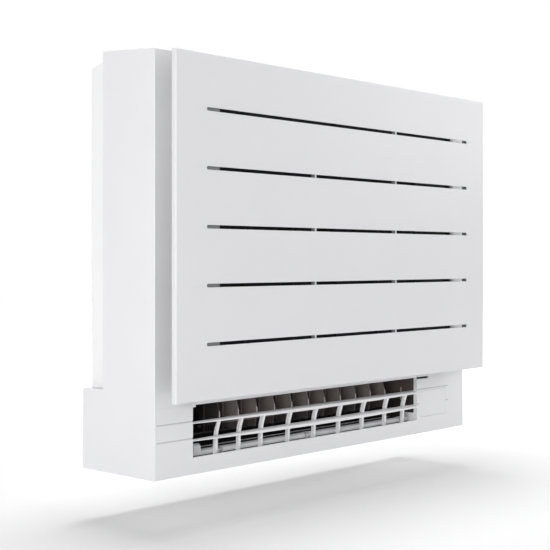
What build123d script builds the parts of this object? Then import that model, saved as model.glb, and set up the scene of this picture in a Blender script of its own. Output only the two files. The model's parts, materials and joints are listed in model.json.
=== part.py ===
"""Floor standing air conditioner: the indoor unit, in millimetres.

The origin is on the floor, midway across the width and the depth. +X is to the right as
seen from the room, -Y is towards the room, +Y is towards the wall and +Z is up.
"""

import os
from math import cos, radians, sin

from build123d import *

os.makedirs("parts", exist_ok=True)

# ---- Driving dimensions: casing -------------------------------------------------------
width = 750.0
height = 604.0  # at the rear edge of the sloping top
front_height = 595.5  # at the front edge of the sloping top
depth = 203.0  # panel face to wall
panel_projection = 44.0  # panel face in front of the casing face
side_depth = 112.0  # casing side wall, from the face to its rear edge
wall = 2.5
casing_edge_radius = 1.6
groove_depth = 1.0
groove_height = 2.0

# Rear frame
rear_inset = 14.0  # rear frame stands in from the casing side walls
rear_foot_height = 118.0  # below this the rear frame is flush with the casing sides
rear_top_drop = 8.0  # rear frame top below the casing top, where it leaves the casing
rear_top_flat = 6.0  # level part of the rear frame's top, behind the casing
rear_top_slope = 13.0  # further drop towards the wall
rear_corner_radius = 6.0
seam = 0.3  # gap between parts that meet end to end
flange_setback = 3.0  # rear frame flange inside the rear edge of the casing
wall_hole_radius = 2.75
wall_hole_inset = 40.0
wall_hole_low_z = 140.0
wall_hole_high_z = 540.0
pipe_exit_size = 70.0
pipe_exit_bottom = 40.0
post_radius = 5.5
post_low_z = 116.0
post_high_inset = 34.0
post_left_inset = 38.0
post_right_inset = 25.0

# Screws
screw_shank_radius = 1.9
screw_head_radius = 4.0
screw_head_height = 2.4
screw_length = 16.0
screw_clearance = 0.1

# Lower outlet, in the casing face
outlet_left_margin = 72.0
outlet_right_margin = 143.0
outlet_bottom = 24.0
outlet_top = 95.2
slit_height = 3.6  # narrow slit that runs on to the right of the outlet
slit_overrun = 34.0
recess_height = 7.8  # shallow recess along the outlet's upper edge, behind the panel
recess_inset = 5.5
bar_upper_z = 74.2  # top of each bar at its left end
bar_lower_z = 49.3
bar_rise = 1.2  # each bar's right end stands this much higher
bar_left_height = 2.4
bar_middle_height = 6.8
bar_right_height = 5.3
bar_depth = 10.0
bar_left_depth = 5.0
bar_taper = 150.0  # length over which the bars deepen from their left ends
vane_count = 9
vane_thickness = 4.5
vane_depth = 7.0
vane_foot_depth = 5.4
vane_left_margin = 53.1
vane_right_margin = 29.5
vane_narrow_gap = 0.778  # the two gaps at the left, as a share of a full gap
vane_last_gap = 0.837
grid_plate = 2.5
grid_depth = 5.0
grid_ear_depth = 29.0  # ears that carry the flap's ends
grid_ear_top = 36.0
grid_fit = 0.2
grid_rail_height = 6.0
grid_rail_rear = 17.0  # behind the casing face

# Lower outlet duct
duct_wall = 2.2
duct_floor_z = 13.0
duct_curve_radius = 94.0
duct_ceiling_z = 104.0
duct_ceiling_depth = 74.0  # from the inside of the casing face to the ceiling's rear edge
duct_rear_gap = 3.5  # inside the rear frame's back wall

# Lower flap
flap_roll_radius = 6.0
flap_pin_radius = 2.0
flap_pivot_setback = 25.0  # behind the casing face
flap_pivot_z = 23.5
flap_blade = 36.0  # from the pivot to the rear edge
flap_blade_thickness = 2.6
flap_end_gap = 1.0
hook_width = 5.0
hook_radius = 4.2
hook_notch = 15.0
hook_margin_left = 71.0
hook_margin_right = 18.0
hook_middle = 2.0  # right of the outlet's middle
flap_blade_drop = 5.0  # fall of the blade's upper face towards the rear
flap_lip = 1.2
cheek_inset = 19.0
cheek_width = 14.0
cheek_height = 9.0
pin_fit = 0.05  # radial running clearance of every small pivot

# Vertical louvre blades behind the lower outlet
lower_louvre_count = 11
louvre_left_margin = 87.0
louvre_right_margin = 46.0
louvre_front_setback = 35.0
louvre_chord = 40.0
louvre_thickness = 1.6
louvre_nose_z = (70.0, 76.0)  # level band in which a blade's front edge stands furthest forward
louvre_foot_setback = 4.0  # front edge behind the nose, at the blade's foot
louvre_brow_setback = 4.0  # front edge behind the nose, above the nose band
louvre_top_setback = 8.0  # front edge behind the nose, at the blade's top
louvre_tail = 10.0  # how far the blade's upper part reaches behind its lower part
louvre_tail_lift = 14.0  # underside of that tail above the blade's foot
louvre_pivot_back = 6.0  # from the blade's rear edge to its pivot
louvre_pin_radius = 1.75
louvre_bottom_z = 47.5
louvre_end_gap = 1.5
rail_width = 10.0
rail_thickness = 3.0
crank_reach = 13.0
crank_pin_radius = 1.5
tie_bar_width = 5.0
tie_bar_thickness = 2.5

# Upper outlet, its duct, flap and louvre blades
upper_opening_front = 23.0  # behind the casing face
upper_opening_depth = 68.0
upper_duct_neck_z = 545.0
upper_duct_rear_neck_z = 535.0
upper_duct_rear_low_z = 470.0
upper_flap_thickness = 3.0
upper_flap_gap = 0.8
upper_roll_radius = 6.5
upper_louvre_count = 7
upper_louvre_margin = 55.0
upper_louvre_bottom_z = 545.5
upper_louvre_chord = 35.0
upper_louvre_pivot_z = 550.0
upper_bar_notch = 8.0

# Stepping motors
stepper_radius = 10.0
stepper_length = 16.0
stepper_offset = 6.5
stepper_engagement = 6.0
stepper_ear = 34.0

# Heat exchanger and drain
exchanger_left_margin = 85.0
exchanger_right_margin = 140.0
exchanger_bottom = 132.0
exchanger_top = 510.0
exchanger_setback = 9.0  # behind the casing face
exchanger_depth = 26.0
fin_wall = 1.2
end_plate = 2.0
tube_rows = 16
tube_radius = 3.5
tube_bore = 3.1
tube_row_gap = 13.0
tube_stub = 7.0
pan_bottom = 110.0
pan_height = 21.0
pan_wall = 2.0
gas_pipe_radius = 4.76
liquid_pipe_radius = 3.18
gas_thread_radius = 7.94
liquid_thread_radius = 5.56
pipe_wall = 0.8
union_z = 92.0
union_setback = 11.0  # free end of each union, inside the rear frame's back wall
gas_union_x = 308.0
liquid_union_x = 282.0
drain_radius = 9.0
drain_bore = 7.0

# Fan and its motor
fan_radius = 165.0
fan_plate = 2.5
fan_blades = 7
fan_blade_thickness = 3.0
fan_hub_radius = 12.0
fan_dome_radius = 62.0
fan_inlet_radius = 138.0
fan_front_gap = 5.0
fan_width = 51.0
bell_throat_radius = 131.0
bell_mouth_radius = 152.0
bell_plate = 2.0
motor_radius = 46.0
motor_length = 37.0
shaft_radius = 4.0
motor_gap = 5.5
bracket_size = 128.0
bracket_plate = 2.5
bracket_hole_spacing = 104.0
guide_wall = 3.0
guide_waist = 182.0  # fan centre to the inside of each side guide
nut_height = 6.0
nut_size = 7.0

# Electrical box, display and button
box_margin_right = 37.0
box_margin_left = 107.0
box_bottom = 170.0
box_top = 520.0
box_depth = 74.0
box_wall = 1.5
board_thickness = 1.6
display_left_margin = 135.0
display_width = 78.0
display_bottom = 28.0
display_height = 46.0
display_gap = 0.3
button_margin = 14.0
button_z = 300.0
button_radius = 5.0
button_stand = 2.2
button_gap = 0.2

# Air filter
intake_left_margin = 75.0
intake_right_margin = 60.0
intake_bottom = 140.0
intake_top = 540.0
intake_bar = 3.0
intake_columns = 6
intake_rows = 5
filter_overlap = 10.0
filter_thickness = 5.0
filter_border = 9.0
filter_rib = 3.0
filter_columns = 6
filter_rows = 5
mesh_thickness = 0.6
filter_gap = 1.0
channel_wall = 2.0
cartridge_width = 240.0
cartridge_height = 90.0
cartridge_thickness = 5.0

# Front panel and its carrier
panel_bottom = 109.0
panel_top = 590.0
panel_rim = 9.0  # depth of the panel's turned edge
panel_skin = 2.5
panel_edge_radius = 2.5
slot_count = 5
slot_height = 5.0
slot_left_margin = 58.0
slot_right_margin = 53.0
slot_bridge = 2.0  # width of the bridges that cross the slots
slot_bridge_recess = 0.8
slot_first_z = 187.0
slot_last_z = 513.0
crease_length = 42.0
crease_depth = 0.6
crease_height = 1.2
strip_left_inset = 61.0
strip_right_inset = 30.0
strip_width = 26.0
strip_setback = 5.0
carrier_rail = 10.0
left_rib_x = -87.0
right_rib_x = 115.0
carrier_rib = 3.0
carrier_rib_top = 505.0
hinge_inset = 50.0
hinge_z = 121.0
hinge_reach = 9.0  # pivot in front of the casing face
hinge_arm = 4.0
hinge_pin_radius = 2.5
lug_thickness = 5.0
lug_radius = 6.5
stud_left_inset = 53.0
stud_right_inset = 38.0
stud_z = 540.0
stud_radius = 3.0
stud_reach = 11.0  # behind the inside of the casing face
clip_hole_radius = 5.0
clip_jaw = 2.0
clip_gap = 0.5
clip_length = 12.0

# ---- Places worked out from the driving dimensions ------------------------------------
half_width = width / 2
front_y = -depth / 2
back_y = depth / 2
face_y = front_y + panel_projection
inner_face_y = face_y + wall
side_rear_y = face_y + side_depth
back_inner_y = back_y - wall
outlet_left = -half_width + outlet_left_margin
outlet_right = half_width - outlet_right_margin
centre_x = (outlet_left + outlet_right) / 2
intake_left = -half_width + intake_left_margin
intake_right = half_width - intake_right_margin
flap_pivot_y = face_y + flap_pivot_setback
louvre_front_y = face_y + louvre_front_setback
louvre_rear_y = louvre_front_y + louvre_chord
louvre_pivot_y = louvre_rear_y - louvre_pivot_back
crank_y = louvre_pivot_y + crank_reach
plate_rear_y = inner_face_y + grid_depth
ear_rear_y = inner_face_y + grid_ear_depth
duct_front_y = plate_rear_y + seam
duct_ceiling_rear_y = inner_face_y + duct_ceiling_depth
duct_rear_y = back_inner_y - duct_rear_gap
exchanger_left = -half_width + exchanger_left_margin
exchanger_right = half_width - exchanger_right_margin
exchanger_front_y = face_y + exchanger_setback
exchanger_rear_y = exchanger_front_y + exchanger_depth
bell_front_y = exchanger_rear_y + 2.0
bell_rear_y = bell_front_y + bell_plate
fan_front_y = bell_rear_y + fan_front_gap
fan_rear_y = fan_front_y + fan_width
motor_front_y = fan_rear_y + motor_gap
motor_rear_y = motor_front_y + motor_length
fan_z = (duct_ceiling_z + upper_duct_neck_z) / 2
upper_front_y = face_y + upper_opening_front
upper_rear_y = upper_front_y + upper_opening_depth
upper_pivot_y = upper_rear_y - upper_roll_radius - upper_flap_gap
partition_x = half_width - 113.0
box_left = half_width - box_margin_left
box_right = half_width - box_margin_right
box_front_y = inner_face_y + 3.0
box_rear_y = box_front_y + box_depth
filter_rear_y = face_y - 2.0
filter_front_y = filter_rear_y - filter_thickness
filter_left = intake_left - filter_overlap
filter_right = intake_right + filter_overlap
filter_bottom = intake_bottom - filter_overlap
filter_top = intake_top + filter_overlap
hinge_y = face_y - hinge_reach
panel_back_y = front_y + panel_rim
stud_places = (-half_width + stud_left_inset, half_width - stud_right_inset)
screw_places = [
    (x, z)
    for x in (-half_width + post_left_inset, half_width - post_right_inset)
    for z in (post_low_z, height - post_high_inset)
]


def top_z(y):
    """Height of the sloping top at a given depth."""
    return front_height + (y - face_y) * (height - front_height) / side_depth


upper_pivot_z = top_z(upper_pivot_y) - upper_roll_radius


def block(x, y, z, mode=Mode.ADD):
    """A rectangular block between two limits on each axis."""
    with Locations((sum(x) / 2, sum(y) / 2, sum(z) / 2)):
        Box(x[1] - x[0], y[1] - y[0], z[1] - z[0], mode=mode)


def round_bar(start, direction, radius, length, mode=Mode.ADD):
    """A cylinder that starts at a point and runs along a direction."""
    with Locations(Plane(origin=start, z_dir=direction)):
        Cylinder(radius, length, align=(Align.CENTER, Align.CENTER, Align.MIN), mode=mode)


def prism_x(points, x, mode=Mode.ADD):
    """A closed outline of (y, z) points, extruded between two x limits."""
    with BuildSketch(Plane.YZ.offset(x[0]), mode=Mode.PRIVATE) as outline:
        with BuildLine():
            Polyline(*points, close=True)
        make_face()
    extrude(outline.sketch, amount=x[1] - x[0], mode=mode)


def spread(first, last, count):
    """Evenly spaced places from first to last."""
    step = (last - first) / (count - 1)
    return [first + n * step for n in range(count)]


def vane_places():
    """Left faces of the outlet vanes: narrow gaps at the left, then even ones."""
    gaps = [vane_narrow_gap] * 2 + [1.0] * (vane_count - 4) + [vane_last_gap]
    start = outlet_left + vane_left_margin
    full_gap = (outlet_right - vane_right_margin - start) / sum(gaps)
    places = [start]
    for gap in gaps:
        places.append(places[-1] + gap * full_gap)
    return places


lower_louvre_x = spread(
    outlet_left + louvre_left_margin, outlet_right - louvre_right_margin, lower_louvre_count
)
upper_louvre_x = spread(
    outlet_left + upper_louvre_margin, outlet_right - upper_louvre_margin, upper_louvre_count
)
hook_places = [
    outlet_left + hook_margin_left,
    centre_x + hook_middle,
    outlet_right - hook_margin_right,
]
slot_levels = spread(slot_first_z, slot_last_z, slot_count)
left_slot_x = -half_width + slot_left_margin
right_slot_x = half_width - slot_right_margin

# ---- Casing ---------------------------------------------------------------------------

# Front casing: an open-backed shell with the intake, both outlets and the panel's lugs
with BuildPart() as front_casing:
    with BuildSketch(Plane.YZ.offset(-half_width)):
        with BuildLine():
            Polyline(
                (face_y, 0),
                (side_rear_y, 0),
                (side_rear_y, height),
                (face_y, front_height),
                close=True,
            )
        make_face()
    extrude(amount=width)
    face_edges = front_casing.edges().group_by(Axis.Y)[0]
    top_edges = front_casing.edges().filter_by(
        lambda edge: abs(edge.center().X) > half_width - 1 and edge.center().Z > front_height
    )
    fillet(face_edges + top_edges, casing_edge_radius)
    prism_x(
        [
            (inner_face_y, wall),
            (side_rear_y + 1, wall),
            (side_rear_y + 1, top_z(side_rear_y + 1) - wall),
            (inner_face_y, top_z(inner_face_y) - wall),
        ],
        (-half_width + wall, half_width - wall),
        Mode.SUBTRACT,
    )
    through = (face_y - 1, inner_face_y + 1)
    # Intake opening with its guard bars
    block((intake_left, intake_right), through, (intake_bottom, intake_top), Mode.SUBTRACT)
    for x in spread(intake_left, intake_right, intake_columns + 1)[1:-1]:
        block(
            (x - intake_bar / 2, x + intake_bar / 2),
            (face_y, inner_face_y),
            (intake_bottom - 1, intake_top + 1),
        )
    for z in spread(intake_bottom, intake_top, intake_rows + 1)[1:-1]:
        block(
            (intake_left - 1, intake_right + 1),
            (face_y, inner_face_y),
            (z - intake_bar / 2, z + intake_bar / 2),
        )
    # Lower outlet, the recess along its upper edge and the slit beside it
    block((outlet_left, outlet_right), through, (outlet_bottom, outlet_top), Mode.SUBTRACT)
    block(
        (outlet_left + recess_inset, outlet_right),
        through,
        (outlet_top - 1, outlet_top + recess_height),
        Mode.SUBTRACT,
    )
    slit_end = outlet_right + slit_overrun - slit_height / 2
    block(
        (outlet_right - 1, slit_end),
        through,
        (outlet_top, outlet_top + slit_height),
        Mode.SUBTRACT,
    )
    round_bar(
        (slit_end, through[0], outlet_top + slit_height / 2),
        (0, 1, 0),
        slit_height / 2,
        through[1] - through[0],
        Mode.SUBTRACT,
    )
    # Shallow lines that carry the bars' lines on across the face and fade outwards
    left_lines = (outlet_top + 4.8, bar_upper_z + 1.3, bar_lower_z + 1.9)
    right_lines = (bar_upper_z + bar_rise + 1.9, bar_lower_z + bar_rise + 1.3)
    for start, end, levels in (
        (outlet_left, -half_width + 4.0, left_lines),
        (outlet_right, half_width - 48.0, right_lines),
    ):
        for z in levels:
            with BuildSketch(Plane.XY.offset(z - groove_height / 2)):
                with BuildLine():
                    Polyline(
                        (start, face_y - 1),
                        (start, face_y + groove_depth),
                        (end, face_y + groove_depth / 4),
                        (end, face_y - 1),
                        close=True,
                    )
                make_face()
            extrude(amount=groove_height, mode=Mode.SUBTRACT)
    # Upper outlet
    block(
        (outlet_left, outlet_right),
        (upper_front_y, upper_rear_y),
        (front_height - 10, height + 10),
        Mode.SUBTRACT,
    )
    # Display cover's opening and the button's hole
    display_x = (half_width - display_left_margin, half_width - display_left_margin + display_width)
    display_z = (display_bottom, display_bottom + display_height)
    block(display_x, through, display_z, Mode.SUBTRACT)
    button_x = half_width - button_margin
    round_bar(
        (button_x, through[0], button_z),
        (0, 1, 0),
        button_radius + button_gap,
        through[1] - through[0],
        Mode.SUBTRACT,
    )
    # Filter channels beside the intake, with a stop at the bottom of each
    channel_front_y = filter_front_y - filter_gap - channel_wall
    for edge_x, side in ((filter_left, -1), (filter_right, 1)):
        outer = edge_x + side * filter_gap
        for x in (
            sorted((outer, outer + side * channel_wall)),
            sorted((outer + side * channel_wall, edge_x - side * filter_border / 2)),
        ):
            front_only = x[1] - x[0] > channel_wall
            block(
                x,
                (channel_front_y, channel_front_y + channel_wall if front_only else face_y),
                (filter_bottom, filter_top),
            )
        block(
            sorted((outer + side * channel_wall, edge_x - side * 2 * filter_border)),
            (channel_front_y, face_y),
            (filter_bottom - channel_wall - seam, filter_bottom - seam),
        )
    # Lugs that carry the front panel's pivots
    for side in (-1, 1):
        lug_x = sorted(
            (
                side * (half_width - hinge_inset),
                side * (half_width - hinge_inset + lug_thickness),
            )
        )
        block(lug_x, (hinge_y, face_y), (hinge_z - lug_radius, hinge_z + lug_radius))
        round_bar((lug_x[0], hinge_y, hinge_z), (1, 0, 0), lug_radius, lug_thickness)
        round_bar(
            (lug_x[0] - 1, hinge_y, hinge_z),
            (1, 0, 0),
            hinge_pin_radius + pin_fit,
            lug_thickness + 2,
            Mode.SUBTRACT,
        )
    # Pillars for the display board
    for x in (display_x[0] + 8.0, display_x[1] - 8.0):
        round_bar((x, inner_face_y, display_z[1] + 6.0), (0, 1, 0), 3.0, 5.0)
    # Holes for the panel's studs
    for x in stud_places:
        round_bar(
            (x, through[0], stud_z), (0, 1, 0), clip_hole_radius, through[1] - through[0], Mode.SUBTRACT
        )
    # Screw holes
    for x, z in screw_places:
        round_bar(
            (x, through[0], z),
            (0, 1, 0),
            screw_shank_radius + screw_clearance,
            through[1] - through[0],
            Mode.SUBTRACT,
        )
front_casing.part.label = "front_casing"
export_step(front_casing.part, "parts/front_casing.step")

# Rear frame: a tub that stands against the wall and carries everything
frame_half = half_width - rear_inset
foot_half = half_width - seam
flange_half = half_width - wall - seam
flange_rear_y = side_rear_y - flange_setback
flange_front_y = flange_rear_y - wall
foot_front_y = side_rear_y + seam
rear_top_front = height - rear_top_drop
rear_top_back = rear_top_front - rear_top_slope
rear_flat_y = side_rear_y + rear_top_flat
with BuildPart() as rear_frame:
    with BuildSketch(Plane.YZ.offset(-frame_half)):
        with BuildLine():
            Polyline(
                (flange_front_y, wall + seam),
                (foot_front_y, wall + seam),
                (back_y, wall + seam),
                (back_y, rear_top_back),
                (rear_flat_y, rear_top_front),
                (flange_front_y, rear_top_front),
                close=True,
            )
        make_face()
    extrude(amount=2 * frame_half)
    wall_edges = rear_frame.edges().group_by(Axis.Y)[-1]
    fillet(wall_edges.filter_by(Axis.Z) + wall_edges.sort_by(Axis.Z)[-1:], rear_corner_radius)
    with BuildSketch(Plane.YZ.offset(-foot_half)) as foot_profile:
        with BuildLine():
            Polyline(
                (foot_front_y, 0),
                (back_y, 0),
                (back_y, rear_foot_height),
                (foot_front_y, rear_foot_height),
                close=True,
            )
        make_face()
        fillet(foot_profile.vertices().group_by(Axis.X)[-1], rear_corner_radius)
    extrude(amount=2 * foot_half)
    flange_top = top_z(flange_front_y) - wall - seam
    block(
        (-flange_half, flange_half),
        (flange_front_y, flange_rear_y),
        (wall + seam, flange_top),
    )
    # Hollow of the tub, then of the foot
    prism_x(
        [
            (flange_front_y - 1, 2 * wall),
            (back_inner_y, 2 * wall),
            (back_inner_y, rear_top_back - wall),
            (rear_flat_y, rear_top_front - wall),
            (flange_front_y - 1, rear_top_front - wall),
        ],
        (-frame_half + wall, frame_half - wall),
        Mode.SUBTRACT,
    )
    block(
        (-foot_half + wall, foot_half - wall),
        (foot_front_y + wall, back_inner_y),
        (wall, rear_foot_height - wall),
        Mode.SUBTRACT,
    )
    # Posts that take the casing screws
    for x, z in screw_places:
        round_bar((x, inner_face_y, z), (0, 1, 0), post_radius, back_y - 1 - inner_face_y)
        round_bar(
            (x, inner_face_y, z),
            (0, 1, 0),
            screw_shank_radius + screw_clearance,
            screw_length,
            Mode.SUBTRACT,
        )
    # Bosses for the fan motor's bracket
    for x in (centre_x - bracket_hole_spacing / 2, centre_x + bracket_hole_spacing / 2):
        for z in (fan_z - bracket_hole_spacing / 2, fan_z + bracket_hole_spacing / 2):
            boss_y = motor_rear_y + bracket_plate
            round_bar((x, boss_y, z), (0, 1, 0), post_radius, back_y - 1 - boss_y)
            round_bar(
                (x, boss_y, z),
                (0, 1, 0),
                screw_shank_radius + screw_clearance,
                back_inner_y - boss_y,
                Mode.SUBTRACT,
            )
    # Wall fixing holes and the pipe exit
    for x in (-half_width + wall_hole_inset, half_width - wall_hole_inset):
        for z in (wall_hole_low_z, wall_hole_high_z):
            round_bar(
                (x, back_inner_y - 1, z), (0, 1, 0), wall_hole_radius, wall + 2, Mode.SUBTRACT
            )
    pipe_exit_x = half_width - 78.0
    block(
        (pipe_exit_x - pipe_exit_size / 2, pipe_exit_x + pipe_exit_size / 2),
        (back_inner_y - 1, back_y + 1),
        (pipe_exit_bottom, pipe_exit_bottom + pipe_exit_size),
        Mode.SUBTRACT,
    )
rear_frame.part.label = "rear_frame"
export_step(rear_frame.part, "parts/rear_frame.step")

# Screws: four through the casing face into the posts, four through the motor bracket
screw_heads = [(x, face_y, z) for x, z in screw_places]
for x in (centre_x - bracket_hole_spacing / 2, centre_x + bracket_hole_spacing / 2):
    for z in (fan_z - bracket_hole_spacing / 2, fan_z + bracket_hole_spacing / 2):
        screw_heads.append((x, motor_rear_y, z))
with BuildPart() as screws:
    for x, seat_y, z in screw_heads:
        top_y = seat_y - screw_head_height
        round_bar((x, top_y, z), (0, 1, 0), screw_head_radius, screw_head_height)
        round_bar((x, seat_y, z), (0, 1, 0), screw_shank_radius, screw_length)
        for arm in ((2.4, 0.4), (0.4, 2.4)):
            block(
                (x - arm[0], x + arm[0]),
                (top_y - 1, top_y + 1.2),
                (z - arm[1], z + arm[1]),
                Mode.SUBTRACT,
            )
screws.part.label = "screws"
export_step(screws.part, "parts/screws.step")

# Display cover: flush with the casing face, with a rim that seats behind it
with BuildPart() as display_cover:
    block(
        (display_x[0] + display_gap, display_x[1] - display_gap),
        (face_y, inner_face_y),
        (display_z[0] + display_gap, display_z[1] - display_gap),
    )
    block(
        (display_x[0] - 2.0, display_x[1] + 2.0),
        (inner_face_y, inner_face_y + 1.2),
        (display_z[0] - 2.0, display_z[1] + 2.0),
    )
display_cover.part.label = "display_cover"
export_step(display_cover.part, "parts/display_cover.step")

# Display board, on the casing's two pillars
with BuildPart() as display_board:
    board_y = inner_face_y + 5.0
    block(
        (display_x[0] + 2.0, display_x[1] - 2.0),
        (board_y, board_y + board_thickness),
        (display_z[0] + 6.0, display_z[1] + 10.0),
    )
    for x in spread(display_x[0] + 14.0, display_x[1] - 14.0, 4):
        round_bar((x, board_y - 2.6, display_z[0] + 22.0), (0, 1, 0), 1.5, 2.6)
display_board.part.label = "display_board"
export_step(display_board.part, "parts/display_board.step")

# On/off button, in the casing face beside the intake
with BuildPart() as power_button:
    round_bar(
        (button_x, face_y - button_stand, button_z),
        (0, 1, 0),
        button_radius,
        button_stand + wall + 1.0,
    )
    fillet(power_button.edges().group_by(Axis.Y)[0], 0.8)
    round_bar((button_x, inner_face_y + seam, button_z), (0, 1, 0), button_radius + 1.6, 1.6)
power_button.part.label = "power_button"
export_step(power_button.part, "parts/power_button.step")

# Button switch: a small board on the side of the casing, behind the button
with BuildPart() as button_switch:
    switch_y = inner_face_y + 3.8
    block(
        (button_x - 8.0, half_width - wall),
        (switch_y + 2.0, switch_y + 2.0 + board_thickness),
        (button_z - 11.0, button_z + 11.0),
    )
    block(
        (button_x - 3.0, button_x + 3.0),
        (switch_y, switch_y + 2.0),
        (button_z - 3.0, button_z + 3.0),
    )
button_switch.part.label = "button_switch"
export_step(button_switch.part, "parts/button_switch.step")

# ---- Lower outlet ---------------------------------------------------------------------

# Outlet grid: two bars, nine vanes, end plates and the hooks that hold the flap
with BuildPart() as outlet_grid:
    bar_rear_y = face_y + bar_depth
    bar_left = outlet_left + grid_fit
    bar_right = outlet_right - grid_fit
    tail_left = outlet_left - grid_plate
    tail_right = outlet_right + grid_plate
    # Each bar is slim at its left end and fullest in its middle
    for z in (bar_upper_z, bar_lower_z):
        right_z = z + bar_rise
        with BuildSketch(Plane.XZ.offset(-face_y)):
            with BuildLine():
                Line((bar_left, z), (bar_right, right_z))
                Line((bar_right, right_z), (bar_right, right_z - bar_right_height))
                ThreePointArc(
                    (bar_right, right_z - bar_right_height),
                    (centre_x, z + bar_rise / 2 - bar_middle_height),
                    (bar_left, z - bar_left_height),
                )
                Line((bar_left, z - bar_left_height), (bar_left, z))
            make_face()
        extrude(amount=-bar_depth)
        # The upper front edge falls away, so that the bar shows a sloping face
        prism_x(
            [
                (face_y - 1, z - 1.6),
                (face_y, z - 1.6),
                (face_y + 5.0, z + bar_rise),
                (face_y + 5.0, z + 5.0),
                (face_y - 1, z + 5.0),
            ],
            (bar_left - 1, bar_right + 1),
            Mode.SUBTRACT,
        )
        block(
            (tail_left, bar_left + 1),
            (inner_face_y + grid_fit, face_y + bar_left_depth),
            (z - bar_left_height, z),
        )
        block(
            (bar_right - 1, tail_right),
            (inner_face_y + grid_fit, plate_rear_y),
            (right_z - bar_right_height, right_z),
        )
    with BuildSketch(Plane.XY.offset(bar_lower_z - bar_middle_height - 1)):
        with BuildLine():
            Polyline(
                (tail_left - 1, face_y + bar_left_depth),
                (bar_left, face_y + bar_left_depth),
                (bar_left + bar_taper, bar_rear_y),
                (bar_left + bar_taper, bar_rear_y + 1),
                (tail_left - 1, bar_rear_y + 1),
                close=True,
            )
        make_face()
    extrude(amount=bar_upper_z - bar_lower_z + bar_middle_height + 5, mode=Mode.SUBTRACT)
    # Rail below the outlet, rail in the recess above it, and the end plates with their ears
    rail_top = outlet_bottom - 3.0
    rail_level = (rail_top - grid_rail_height, rail_top)
    block((tail_left, tail_right), (inner_face_y, face_y + grid_rail_rear), rail_level)
    head_level = (outlet_top + 3.0, outlet_top + recess_height - grid_fit)
    block(
        (outlet_left + recess_inset + grid_fit, bar_right), (face_y + 1.2, plate_rear_y), head_level
    )
    block((tail_left, tail_right), (inner_face_y + grid_fit, plate_rear_y), head_level)
    for x in ((tail_left, outlet_left - grid_fit), (outlet_right + grid_fit, tail_right)):
        block(x, (inner_face_y, plate_rear_y), (rail_level[0], head_level[1]))
        block(x, (inner_face_y, ear_rear_y), (rail_level[0], grid_ear_top))
    # Each vane leans back on its way down; the two at the left are slimmer at the top
    for number, x in enumerate(vane_places()):
        top_depth = vane_depth * (0.52, 0.78, 1.0)[min(number, 2)]
        front = [(1.4, bar_upper_z - 1.0), (3.7, 66.0), (6.8, 57.0), (8.9, 40.0), (9.6, rail_top - 1.0)]
        depths = spread(top_depth, vane_foot_depth, len(front))
        front = [(face_y + y, z) for y, z in front]
        rear = [(y + depth_here, z) for (y, z), depth_here in zip(front, depths)]
        with BuildSketch(Plane.YZ.offset(x)):
            with BuildLine():
                Spline(*front)
                Line(front[-1], rear[-1])
                Spline(*rear[::-1])
                Line(rear[0], front[0])
            make_face()
        extrude(amount=vane_thickness)
    # Hooks round the flap's pin, open towards the rear
    for x in hook_places:
        hook = (x - hook_width / 2, x + hook_width / 2)
        block(
            hook, (face_y + grid_rail_rear - 1, flap_pivot_y), (rail_top - 4.0, rail_top - 1.2)
        )
        round_bar((hook[0], flap_pivot_y, flap_pivot_z), (1, 0, 0), hook_radius, hook_width)
        round_bar(
            (hook[0] - 1, flap_pivot_y, flap_pivot_z),
            (1, 0, 0),
            flap_pin_radius + pin_fit,
            hook_width + 2,
            Mode.SUBTRACT,
        )
        block(
            (hook[0] - 1, hook[1] + 1),
            (flap_pivot_y, flap_pivot_y + hook_radius + 1),
            (flap_pivot_z - 1.5, flap_pivot_z + 1.5),
            Mode.SUBTRACT,
        )
    # Bearings for the flap's end pins
    round_bar(
        (tail_left - 1, flap_pivot_y, flap_pivot_z),
        (1, 0, 0),
        flap_pin_radius + pin_fit,
        tail_right - tail_left + 2,
        Mode.SUBTRACT,
    )
outlet_grid.part.label = "outlet_grid"
export_step(outlet_grid.part, "parts/outlet_grid.step")

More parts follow.
